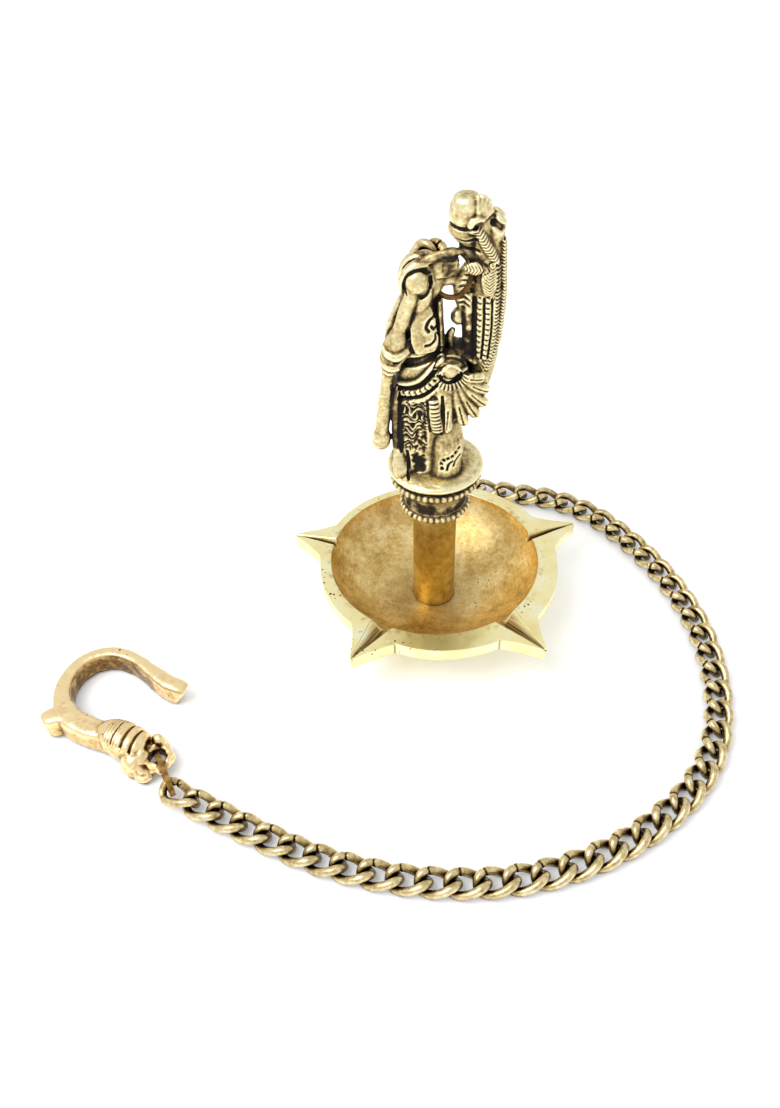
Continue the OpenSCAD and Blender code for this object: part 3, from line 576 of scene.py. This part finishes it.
# Line round the ball and beak, curl cut in the neck shield, necklace bands with dark gaps between
press([[-3.4, 173.6], [-6, 175.4], [-9, 175.4], [-11.8, 173.6], [-12.8, 170], [-12, 166.8]], 0.5, -0.5)
press([[-3.2, 172], [-3.1, 169], [-4.4, 166.4], [-6.6, 165.2]], 0.7, -0.9)
press([[-1.2, 157.4], [-3.4, 156], [-4.6, 153.4], [-3.6, 151.8]], 0.8, -0.9)
press([[-0.8, 150.6], [-1.2, 148.4], [-3, 146.6], [-4.8, 146.2]], 0.7, -0.8)
press([[-0.2, 153.4], [-1.6, 152.6], [-2.6, 153.6]], 0.7, -0.8)
press([[-11.4, 153], [-11, 147], [-9.4, 142.6]], 0.8, -0.8)
press([[1, 142.4], [-6, 139.4], [-13, 137.5]], 1.9, -1.6)
press([[1.6, 141], [-3, 136.6], [-8, 131.6], [-14.5, 128.2]], 1.0, 1.5)
press([[2.2, 138.4], [-2.6, 134], [-7.6, 129.2], [-14.8, 126]], 0.9, -1.3)
press([[1.6, 135.4], [-1, 132.4], [-6.4, 127.6], [-14.8, 123.8]], 1.4, 1.1, 2.3, 1.1)
press([[-0.6, 130], [-3, 128], [-7, 125.2], [-15, 121.6]], 0.9, -1.4)
press([[-2.2, 127.4], [-6, 123.4], [-14, 119.6]], 1.1, 0.7)
# Knot's slit, ladder strip, breast edge, feathers
press([[-16.6, 139.8], [-14.6, 140], [-12.6, 141]], 0.8, -1.3)
press([[-2, 124], [-1.4, 119], [-0.6, 112], [0.2, 106.8]], 2.2, 0.2, 1.9, 0.8)
press([[-4.4, 124], [-4, 116], [-3, 107]], 0.6, -0.6)
press([[1.6, 125], [2, 116], [2.4, 108]], 0.7, -0.9)
press([[-14.6, 124], [-15, 110], [-14.4, 96]], 0.8, -0.5)
for rows in feathers:
    press([[r[0], r[2]] for r in rows[1:]], 0.4, -0.45)
# Plume: slanting strip, leaves, herringbone, beaded strip and rope edge
press([[12.8, 190.6], [15, 187], [17.6, 183], [20.2, 178.6]], 1.9, 0.2, 1.25, 0.6, 0.5)
press([[8.8, 175.8], [13, 176], [16.2, 175.8]], 2.4, 0.1, 1.2, 0.5, 0.6)
press([[19, 177], [18, 172.8], [18.2, 168], [18.8, 164]], 2.6, 0.1, 1.2, 0.45, 0.8)
press([[13.4, 163], [13.6, 150], [14, 140]], 0.8, -0.9)
press([[15, 164], [15.2, 152], [15.2, 139]], 1.1, 0.4, 2.3, 0.6, 0.5)
press([[17.8, 164.6], [18.2, 152], [17.4, 138]], 1.1, 0.6, 2.2, 1.0)
press([[16.5, 164], [16.8, 152], [16.4, 139]], 0.5, -1.0)
press([[19.5, 164], [19.9, 152], [18.9, 139]], 0.5, -1.0)
press([[21.2, 178], [21.6, 166], [21.4, 154], [20.2, 143], [17.4, 135]], 1.1, 0.2, 1.5, 0.6, 0.7)
press([[22.9, 186], [23.4, 174.6], [24, 166], [23.6, 154], [22.4, 143.6], [18.6, 134]],
      1.2, 0.2, 1.3, 0.6, 0.6)
# Foliage under the bridge, band round the top bud, turns of its neck, cup of the plume's end
press([[12, 172], [9.8, 168], [9.4, 164], [9.2, 159]], 3, 0.1, 2.3, 0.6, -0.5)
press([[3, 191.2], [9, 190.4], [12, 191]], 0.6, -0.7)
press([[4, 186.6], [9, 185.8], [13, 186.4]], 0.7, -0.9)
press([[6.6, 183.4], [10, 182.6], [14, 181.8]], 0.6, -0.8)
press([[19, 192.2], [22, 190.4]], 1.5, -1.2)
# Foot line and toes of the right foot
press([[-12.4, 96], [-11.6, 91], [-12, 86]], 0.7, -1.0)
press([[1.8, 90.4], [1.6, 93.4], [4, 95], [6.6, 96.4], [9, 99]], 0.8, -0.4, 2.1, 1.2)
press([[4, 90], [4.6, 92.2], [6.2, 93.6]], 0.6, -0.9)
press([[6.8, 91.6], [7.6, 93.6], [9.4, 95.4]], 0.6, -0.8)
# Ribs of the wing ring on its lower half, and the scroll over its upper half
x, y, z = points.T
arm = points[:, [0, 2]] - hub
reach = np.linalg.norm(arm, axis=1)
faced = np.abs(y) > 7.5
ringed = within(reach, 4.6, 6.9) & faced
ribs = 0.35 * np.cos(24 * np.arctan2(arm[:, 1], arm[:, 0]))
lift[ringed] += np.where(arm[ringed, 1] < 2.4, ribs[ringed], -0.9)
lift[within(reach, 3.6, 4.5) & (arm[:, 1] < 1) & faced] -= 0.9
# Uneven hollow between the feet, and the wavy rows of the breast
rough = np.array([noise.noise(Vector(p) / 1.9 + Vector((7, 3, 1))) for p in points])
wide_rough = np.array([noise.noise(Vector(p) / 4.5 + Vector((1, 8, 4))) for p in points])
front = np.abs(outward[:, 1]) > 0.25
hollow = 1.15 - ((x + 8) / 4.8) ** 2 - ((z - 91.6) / 4.2) ** 2 + 1.3 * wide_rough + 0.5 * rough
lift -= 1.5 * np.clip(hollow, 0, 1) * front
breast = front * np.clip((x + 15) / 2, 0, 1) * np.clip((-3.6 - x) / 1.5, 0, 1)
breast *= np.clip((z - 95) / 5, 0, 1) * np.clip((123.5 - z) / 2.5, 0, 1)
waves = np.cos(2 * np.pi * (z / 2.5 + 0.4 * np.cos(x * 1.3) + 1.5 * wide_rough + 0.4 * rough))
lift += breast * (0.5 * waves * np.clip(0.7 + 1.5 * wide_rough, 0.1, 1) - 0.9 + rough)
# Grain of the mould all over
lift += [noise.noise(Vector(p) / 1.1) * 0.09 + noise.noise(Vector(p) / 3.7) * 0.24 for p in points]
points = relaxed(points + outward * lift[:, None], edges, 1, 0.35)
finial = new_piece("goose_casting", points, faces.tolist(), "lamp", "antiqued_cast_brass")
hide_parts("bird")
# Places where the dark wash stayed: hollows, strips between the ornament and the sheet behind the head
high = high_places(points, edges, faces)
x, y, z = points.T
collar_hollow = within(z, 65, 75.4) | (np.abs(z - 81.4) < 0.7)
bead_rings = (np.abs(z - LOW_BEADS_Z) < 2) | (np.abs(z - TOP_BEADS_Z) < 2)
bud_band = (np.abs(z - 188.6) < 1.8) & (x < 13)
neck_under_bud = within(z, 178, 186) & (x < 13)
mantle = within(x, 1, 8.6) & within(z, 171, 180) & (y < -1)
edge_strip = within(x, -18.6, -13.4) & within(z, 97, 128)
inner_strip = within(x, 8.6, 13.6) & within(z, 134, 157)
neck_edge = within(x, 0, 3.2) & within(z, 140, 163)
back = within(x, 2.6, 14) & within(z, 138.6, 150)
high -= 0.3 * collar_hollow * np.clip(0.55 + 1.6 * wide_rough, 0, 1) + 0.22 * bead_rings
high -= 0.16 * bud_band + 0.22 * neck_under_bud + 0.3 * mantle * np.clip(0.75 + 1.4 * rough, 0, 1)
high -= 0.34 * inner_strip * np.clip(0.8 + 1.4 * rough, 0, 1) + 0.36 * edge_strip + 0.26 * neck_edge
high -= 0.16 * breast + 0.2 * back
# Bud, disc and collar are rubbed most, the wing least
wing = (x > 1) & within(z, 100, 124)
high += 0.06 * (z > 190) + 0.07 * (z < 86) + 0.07 * (np.abs(z - 84.6) < 1.6) - 0.05 * wing
high = np.clip(high - 0.4 * np.clip(hollow, 0, 1) * front, 0, 1)
mark(finial, "high_place", high)

# Cast brass, darkened by a chemical wash and rubbed back: black-brown in the hollows, from the wash and from
# painted shade, pale gold where hands and the wheel touched it, with the mould's sandy grain of 0.3 mm, drawn
# at 0.7 mm so that it shows
antique, tree, shader, place = new_metal("cast brass, antiqued and rubbed")
stands_out = add(tree, "Attribute", attribute_name="high_place").outputs["Fac"]
# Painted shade: occlusion darkens recesses and places between parts, on top of the wash
shade = add(tree, "AmbientOcclusion", Distance=4 * MM, samples=8, only_local=True).outputs["AO"]
mottle = add(tree, "TexNoise", {"Vector": place}, Scale=1 / (2.2 * MM), Detail=6.0, Roughness=0.62)
out_of_shade = add(tree, "MapRange", {"Value": shade}, From_Min=0.25, From_Max=0.85)
worn_and_shaded = add(tree, "Math", {0: stands_out, 1: out_of_shade}, operation="MULTIPLY")
loose = add(tree, "Math", {0: mottle}, operation="MULTIPLY_ADD", _1=0.42, _2=-0.19)
stained_and_shaded = add(tree, "Math", {0: worn_and_shaded, 1: loose}, operation="ADD", use_clamp=True)
patina = add(tree, "ValToRGB", {"Fac": stained_and_shaded},
             stops=((0.08, "#0d0906"), (0.26, "#33271a"), (0.42, "#806c48"), (0.6, "#d2be88"),
                    (0.82, "#fcf3c6")))
bare = add(tree, "MapRange", {"Value": stained_and_shaded}, From_Min=0.1, From_Max=0.45, To_Min=0.2, To_Max=1.0)
dull = add(tree, "MapRange", {"Value": stained_and_shaded}, From_Min=0.15, From_Max=0.8, To_Min=0.75, To_Max=0.32)
sand = add(tree, "TexNoise", {"Vector": place}, Scale=1 / (0.7 * MM), Detail=3.0)
bumps = add(tree, "Bump", {"Height": sand}, Strength=0.3, Distance=0.3 * MM)
join(tree, shader, {"Base Color": patina, "Metallic": bare, "Roughness": dull, "Normal": bumps})
finial.data.materials.append(antique)


# The ring: round brass wire, bent to a circle and soldered shut. It hangs loose on the finial's bridge and
# carries the chain.
def browned(name, cloud_size, detail, stops, roughness):
    """Brass that handling turned brown, in clouds of a size in millimetres."""
    made, tree, shader, place = new_metal(name, Roughness=roughness)
    cloud = add(tree, "TexNoise", {"Vector": place}, Scale=1 / (cloud_size * MM), Detail=detail)
    tint = add(tree, "ValToRGB", {"Fac": cloud}, stops=stops)
    join(tree, shader, {"Base Color": tint})
    return made


# Brass wire, browned by handling: dark and uneven, in clouds about 3 mm across, with a soft gleam
ring_brass = browned("brass wire, bent and browned", 3, 5.0, ((0.3, "#3d2a14"), (0.75, "#8c6a3c")), 0.34)
ring = frame["nodes"]["ring"]
ring.data.materials.clear()
ring.data.materials.append(ring_brass)

# The chain: curb links of round brass wire, each bent to an oval, twisted so that it lies flat, and
# soldered. The first twenty hang from the ring behind the lamp, and the rest lie on the table.
LINK_A, LINK_B, WIRE_R, TWIST = 7.55, 4.55, 1.74, math.radians(-52)
# Wire of the links where the chain bends down to the table, a little thinner so that they turn freely
BEND_WIRE_R, bend_nodes = 1.5, ("rise_08", "rise_09", "rise_10", "link_01")
WIRE_SIDES, OVAL, SEAM_TURN = 14, 0.77, 5.2


def link_skin(seam, wire_r):
    """One link along x with its seam at a turn: points, faces and how near the seam each point is."""
    whole, close = np.linspace(0, 2 * np.pi, 44, endpoint=False), np.linspace(-0.14, 0.14, 7)
    turn = np.unique(np.concatenate([whole, seam + close]))
    x = LINK_A * np.sign(np.cos(turn)) * np.abs(np.cos(turn)) ** OVAL
    y = LINK_B * np.sign(np.sin(turn)) * np.abs(np.sin(turn)) ** OVAL
    bent = TWIST * x / LINK_A
    line = np.stack([x, y * np.cos(bent), y * np.sin(bent)], axis=1)
    way = np.roll(line, -1, 0) - np.roll(line, 1, 0)
    way /= np.linalg.norm(way, axis=1)[:, None]
    out = np.cross(way, [0, 0, 1.0])
    out /= np.linalg.norm(out, axis=1)[:, None]
    up = np.cross(out, way)
    sides = np.linspace(0, 2 * np.pi, WIRE_SIDES, endpoint=False)
    near = np.exp(-((turn - seam) / 0.05) ** 2)
    thick = wire_r * (1 - 0.3 * near)[:, None, None]
    rings = (line[:, None] + thick * np.cos(sides)[None, :, None] * out[:, None]
             + thick * np.sin(sides)[None, :, None] * up[:, None])
    faces = []
    for i in range(len(turn)):
        here, there = i * WIRE_SIDES, (i + 1) % len(turn) * WIRE_SIDES
        for j in range(WIRE_SIDES):
            k = (j + 1) % WIRE_SIDES
            faces.append((here + j, there + j, there + k, here + k))
    return rings.reshape(-1, 3), faces, np.repeat(near, WIRE_SIDES)


def loose_parts(mesh):
    """Points of each separate solid in a mesh, in millimetres."""
    places = np.array([v.co for v in mesh.vertices]) / MM
    keys, which = np.unique(np.round(places, 3), axis=0, return_inverse=True)
    group = np.arange(len(keys))
    pairs = which.ravel()[np.array([e.vertices[:] for e in mesh.edges])]
    while True:
        low = np.minimum(group[pairs[:, 0]], group[pairs[:, 1]])
        fresh = group.copy()
        np.minimum.at(fresh, pairs[:, 0], low)
        np.minimum.at(fresh, pairs[:, 1], low)
        fresh = fresh[fresh]
        if (fresh == group).all():
            return [keys[group == g] for g in np.unique(group)]
        group = fresh


def link_axes(some, onward):
    """Axes of a link from its points: long way, onward along the chain, wide way, and thin way, upward."""
    axes = np.linalg.eigh(np.cov((some - some.mean(0)).T))[1]
    long_way = axes[:, 2] * np.sign(axes[:, 2] @ onward)
    thin_way = axes[:, 0] * (1 if axes[2, 0] >= 0 else -1)
    return np.stack([long_way, np.cross(thin_way, long_way), thin_way])


# Drawn brass wire, aged: olive gold in clouds, with painted shade that darkens it nearly to black between the
# links and leaves the outside of each link bright, and dark in the seam
wire_brass, tree, shader, place = new_metal("brass wire, drawn and aged", Roughness=0.33)
cloud = add(tree, "TexNoise", {"Vector": place}, Scale=1 / (2.4 * MM), Detail=5.0, Roughness=0.6)
# Painted shade between the links, from occlusion
link_shade = add(tree, "AmbientOcclusion", Distance=4.5 * MM, samples=8)
out_of_shade = add(tree, "MapRange", {"Value": link_shade.outputs["AO"]}, From_Min=0.2, From_Max=0.95, To_Max=0.62)
aged_and_shaded = add(tree, "Math", {0: cloud, 2: out_of_shade}, operation="MULTIPLY_ADD", _1=0.6)
seam_dirt = add(tree, "Attribute", attribute_name="seam").outputs["Fac"]
wire_tone_and_shade = add(tree, "Math", {0: seam_dirt, 2: aged_and_shaded}, operation="MULTIPLY_ADD", _1=-0.5)
tint = add(tree, "ValToRGB", {"Fac": wire_tone_and_shade},
           stops=((0.32, "#170e05"), (0.55, "#4a381b"), (0.77, "#a48a55"), (1.0, "#f4e4b4")))
drawn = add(tree, "Bump", {"Height": cloud}, Strength=0.3, Distance=0.2 * MM)
join(tree, shader, {"Base Color": tint, "Normal": drawn})
seams = np.random.default_rng(5)
chain = [(name, some) for name in frame["nodes"] if name.startswith(("rise", "link"))
         for some in loose_parts(frame["nodes"][name].data)]
middles = np.array([some.mean(0) for _, some in chain])
onward = np.roll(middles, -2, 0) - np.roll(middles, 2, 0)
onward[:2], onward[-2:] = middles[2] - middles[0], middles[-1] - middles[-3]
for name in dict.fromkeys(name for name, _ in chain):
    parts, near = [], []
    wire_r = BEND_WIRE_R if name in bend_nodes else WIRE_R
    for i, (own, some) in enumerate(chain):
        if own == name:
            points, faces, dirt = link_skin(SEAM_TURN + seams.uniform(-0.12, 0.12), wire_r)
            parts.append((points @ link_axes(some, onward[i]) + middles[i], faces))
            near.append(dirt)
    piece = new_piece("chain_" + name, *gather(parts), name, "aged_brass_wire")
    mark(piece, "seam", np.concatenate(near))
    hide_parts(name)
    piece.data.materials.append(wire_brass)

# The strap: a flat brass strip bent to a standing oval, with its edges broken by a file. It runs through
# the last link of the chain and through the hook's eye, and joins the two.
strap = frame["nodes"]["strap"]
strap_edge = strap.modifiers.new("broken edge", "BEVEL")
strap_edge.width = 0.35 * MM
strap_edge.segments = 2
# Brass strip, browned by handling: golden brown, in clouds about 2.5 mm across, and bright along its edges
strap_brass = browned("brass strip, bent and browned", 2.5, 4.0, ((0.3, "#6f5126"), (0.75, "#c29a58")), 0.36)
strap.data.materials.clear()
strap.data.materials.append(strap_brass)

# The hook: cast brass with a flat-banded bow, a blunt heel and a flared end, and a barrel that looks bound
# with wire in the casting. It turns on the strap by the eye in its rough lug and lies on the table.
hook_joint = next(j for j in frame["joints"] if j["child"] == "hook")
eye = np.array([hook_joint["pos_m"][0] / MM, hook_joint["pos_m"][1] / MM, 0])
hook_turn = math.radians(152)
HOOK_HALF, BARREL_Z, LUG_R = 6, 8, 4.9
flat_way = (0, 0, 1)
bow = [[20, 0.2, 5.4, 5.9], [27, 1.2, 5, 5.9], [34, 1.9, 5.2, 5.9], [41, 1.8, 5.2, 5.9],
       [47, 0.2, 5.1, 5.9], [53, -4, 4.2, 5.9], [57.4, -10, 3.7, 5.9], [59.6, -17.4, 3.2, 5.9],
       [59.2, -25, 3, 5.9], [55.6, -31.4, 2.9, 5.9], [49.6, -35.4, 2.9, 5.9], [42.2, -36.7, 2.9, 5.9],
       [34.1, -35.8, 3, 5.9], [26, -33.8, 3.6, 5.9], [18, -32.3, 4, 5.8], [14, -32.4, 3.9, 5.6],
       [11.8, -32.7, 3.6, 5.4], [10.6, -32.9, 2.8, 4.8]]
heel = [[47, 0, 5, 5.9], [50, 3.4, 4.9, 5.9], [52.2, 6.2, 4.1, 5.8], [53.4, 8, 2.6, 5.4]]
hook_parts = []
for rows in (bow, heel):
    rows = [[x, y, min(HOOK_HALF, deep + 0.4), half, deep] for x, y, half, deep in rows]
    hook_parts.append(sweep(rows, 28, 6, False, flat_way, corner=0.42))
# Lug round the eye, its root and the barrel
lug = [[LUG_R * math.cos(t), LUG_R * math.sin(t), HOOK_HALF, 1.7, 3.15]
       for t in np.linspace(0, 2 * math.pi, 15)]
root = [[LUG_R, 0, HOOK_HALF, 4.6, 3.1], [7.5, 0, 6.6, 5.6, 4.6], [10, 0, 7.4, 6, 5.8]]
barrel = [[6.4, 0, 7.6, 4.6, 4.6], [8, 0, 7.9, 6.4, 6.4], [11, 0, BARREL_Z, 7.4, 7.4],
          [15, 0, BARREL_Z, 7.6, 7.6], [21, 0, BARREL_Z, 7.3, 7.3], [24, 0, 7.6, 6.2, 6.4],
          [27, 0.4, 6.6, 5, 5.6]]
hook_parts += [sweep(lug, 20, 4, False, flat_way, corner=0.6),
               sweep(root, 24, 4, False, flat_way, corner=0.7),
               sweep(barrel, 36, 5, False, flat_way, corner=0.85)]
# Lumps that the casting left round the lug: a broad one at its near side, a tall one behind, a low one before
hook_parts += [sweep(rows, 20, 4, True) for rows in (
    [[8, 5, 0.3, 5.4, 5.2], [7.8, 5.2, 4, 6.2, 6], [7.6, 4.8, 9, 5.6, 5.6], [7.6, 4.2, 11.8, 3, 3.4]],
    [[2.8, -5.9, 1, 3, 2.2], [2.6, -6, 6, 3.6, 2.5], [3, -5.8, 10.4, 3, 2.3], [3.6, -5.4, 12.2, 1.4, 1.2]],
    [[2.6, 7.8, 0.3, 3.6, 3.4], [2.4, 7.8, 3, 4, 3.6], [3, 7.4, 6, 3, 2.6], [3.6, 6.8, 8, 1.6, 1.4]])]
points, edges, faces = fuse(hook_parts, grain=0.42)
points = relaxed(points, edges, 3)
outward = outward_of(points, faces)
x, y, z = points.T
uneven = np.array([noise.noise(Vector(p) / 5) * 0.3 + noise.noise(Vector(p) / 1.6) * 0.1 for p in points])
lumpy = np.array([noise.noise(Vector(p) / 2.6 + Vector((4, 4, 4))) for p in points])
rough_end = np.clip((8 - x) / 5, 0, 1) * lumpy
# Binding cut in the barrel: two deep slits, a shallow one and a band of fine turns
along = x + 0.07 * y + 0.8 * uneven
bound = np.clip((np.hypot(y, z - BARREL_Z) - 5) / 1.2, 0, 1) * (np.abs(y + 1.4) < 7.8)
turns = 0.22 * np.cos(2 * np.pi * along / 1.5) * within(along, 14.8, 23.4)
for place_x, half, deep in ((13.9, 0.6, 1.5), (9.6, 0.6, 1.3), (18.6, 0.35, 0.7)):
    turns -= deep * np.exp(-((along - place_x) / half) ** 2)
points = relaxed(points + outward * (uneven + 0.9 * rough_end + turns * bound)[:, None], edges, 1, 0.3)
points[:, 2] = np.maximum(points[:, 2], 0.02)
high = high_places(points, edges, faces)
# The inner wall of the bow, which faces the bow's middle, is made darker
inward = np.array([41.5, -18, 6]) - points
inward /= np.linalg.norm(inward, axis=1)[:, None]
high = np.clip(high - 0.2 * np.clip((outward * inward).sum(1), 0, 1) * (points[:, 0] > 24), 0, 1)
cos, sin = math.cos(hook_turn), math.sin(hook_turn)
spin = np.array([[cos, sin, 0], [-sin, cos, 0], [0, 0, 1]])
hook = new_piece("hook_casting", points @ spin + eye, faces.tolist(), "hook", "polished_cast_brass")
mark(hook, "high_place", high)
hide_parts("hook")
# Cast brass, worn bright by handling on its high places: pale peach gold on top, where painted light also
# falls on faces that look up, brown down the inner wall and in the turns of the binding, painted shade near
# the table and in hollows, and dark casting pits half a millimetre wide in patches
hook_brass, tree, shader, place = new_metal("cast brass, worn by handling", Roughness=0.33)
stands_out = add(tree, "Attribute", attribute_name="high_place").outputs["Fac"]
# Painted light: faces that look up are made lighter
facing = add(tree, "SeparateXYZ", {0: add(tree, "NewGeometry").outputs["Normal"]})
painted_top_light = add(tree, "MapRange", {"Value": facing.outputs["Z"]}, From_Min=0.1, From_Max=0.9, To_Min=-0.02,
              To_Max=0.12)
# Painted shade: occlusion darkens the hook near the table and in hollows
shade = add(tree, "AmbientOcclusion", Distance=5 * MM, samples=8)
out_of_shade = add(tree, "MapRange", {"Value": shade.outputs["AO"]}, From_Min=0.3, From_Max=0.9)
worn_and_shaded = add(tree, "Math", {0: stands_out, 1: out_of_shade}, operation="MULTIPLY")
up = add(tree, "Math", {0: worn_and_shaded, 1: painted_top_light}, operation="ADD")
mottle = add(tree, "TexNoise", {"Vector": place}, Scale=1 / (4 * MM), Detail=5.0, Roughness=0.6)
stained_and_shaded = add(tree, "Math", {0: mottle, 2: up}, operation="MULTIPLY_ADD", _1=0.3)
tint = add(tree, "ValToRGB", {"Fac": stained_and_shaded},
           stops=((0.2, "#2b1d0c"), (0.42, "#7d5f36"), (0.6, "#d8b67a"), (0.8, "#fbe2ae")))
pit_size = add(tree, "MapRange", {"Value": mottle}, From_Min=0.55, From_Max=0.3, To_Max=0.25)
holed = pitted(tree, place, tint, 2.2, pit_size, "#5a4220")
sand = add(tree, "TexNoise", {"Vector": place}, Scale=1 / (1.1 * MM), Detail=3.0)
bumps = add(tree, "Bump", {"Height": sand}, Strength=0.3, Distance=0.2 * MM)
join(tree, shader, {"Base Color": holed, "Normal": bumps})
hook.data.materials.append(hook_brass)

# The floor: one sheet of matt white paper that the lamp stands on. It glows a little to the camera, so that
# it reads as plain white and keeps a soft shadow.
floor_mesh = bpy.data.meshes.new("floor")
reach = 3.0
floor_corners = [(-reach, -reach, 0), (reach, -reach, 0), (reach, reach, 0), (-reach, reach, 0)]
floor_mesh.from_pydata(floor_corners, [], [(0, 1, 2, 3)])
floor = bpy.data.objects.new("floor", floor_mesh)
bpy.context.collection.objects.link(floor)
floor.location.z = -0.0002
paper = bpy.data.materials.new("matt white paper")
paper.use_nodes = True
tree = paper.node_tree
tree.nodes.clear()
sees = add(tree, "LightPath")
seen = add(tree, "Math", {0: sees.outputs["Is Camera Ray"], 1: sees.outputs["Is Glossy Ray"]},
           operation="ADD", use_clamp=True)
matt = add(tree, "BsdfDiffuse", Color=linear("#f4f4f4"))
glow = add(tree, "Emission", {"Strength": seen}, Color=linear("#7c7c7c"))
both = add(tree, "AddShader", {0: matt, 1: glow})
add(tree, "OutputMaterial", {"Surface": both})
floor.data.materials.append(paper)

# Light: a white room with one large soft lamp above and to the left
world = bpy.data.worlds.new("studio")
bpy.context.scene.world = world
world.use_nodes = True
tree = world.node_tree
tree.nodes.clear()
sees = add(tree, "LightPath")
room = add(tree, "Background", Color=linear("#ffffff"), Strength=0.85)
back = add(tree, "Background", Color=linear("#ffffff"), Strength=1.0)
mixed = add(tree, "MixShader", {0: sees.outputs["Is Camera Ray"], 1: room, 2: back})
add(tree, "OutputWorld", {"Surface": mixed})
soft_light = bpy.data.lights.new("key", "AREA")
soft_light.size = 0.6
soft_light.energy = 6
soft_lamp = bpy.data.objects.new("key", soft_light)
bpy.context.collection.objects.link(soft_lamp)
lamp_place, lamp_aim = Vector((-0.5, -0.3, 0.9)), Vector((0, 0, 0.08))
soft_lamp.location = lamp_place
soft_lamp.rotation_euler = (lamp_aim - lamp_place).to_track_quat("-Z", "Y").to_euler()

# The camera stands where the photograph was taken from, in the photograph's own frame of 780 by 1108
camera_data = bpy.data.cameras.new("camera")
camera_data.sensor_fit = "HORIZONTAL"
camera_data.sensor_width = 36
camera_data.lens = 45.366
camera_data.clip_start = 0.01
camera = bpy.data.objects.new("camera", camera_data)
bpy.context.collection.objects.link(camera)
camera_place = (-0.020493, -0.328184, 0.346492)
tilt = math.radians(90 - 43.945)
roll = math.radians(-1.6525)
camera.matrix_world = (Matrix.Translation(camera_place) @ Matrix.Rotation(tilt, 4, "X")
                       @ Matrix.Rotation(roll, 4, "Z"))
bpy.context.scene.camera = camera
bpy.context.scene.view_settings.view_transform = "Standard"
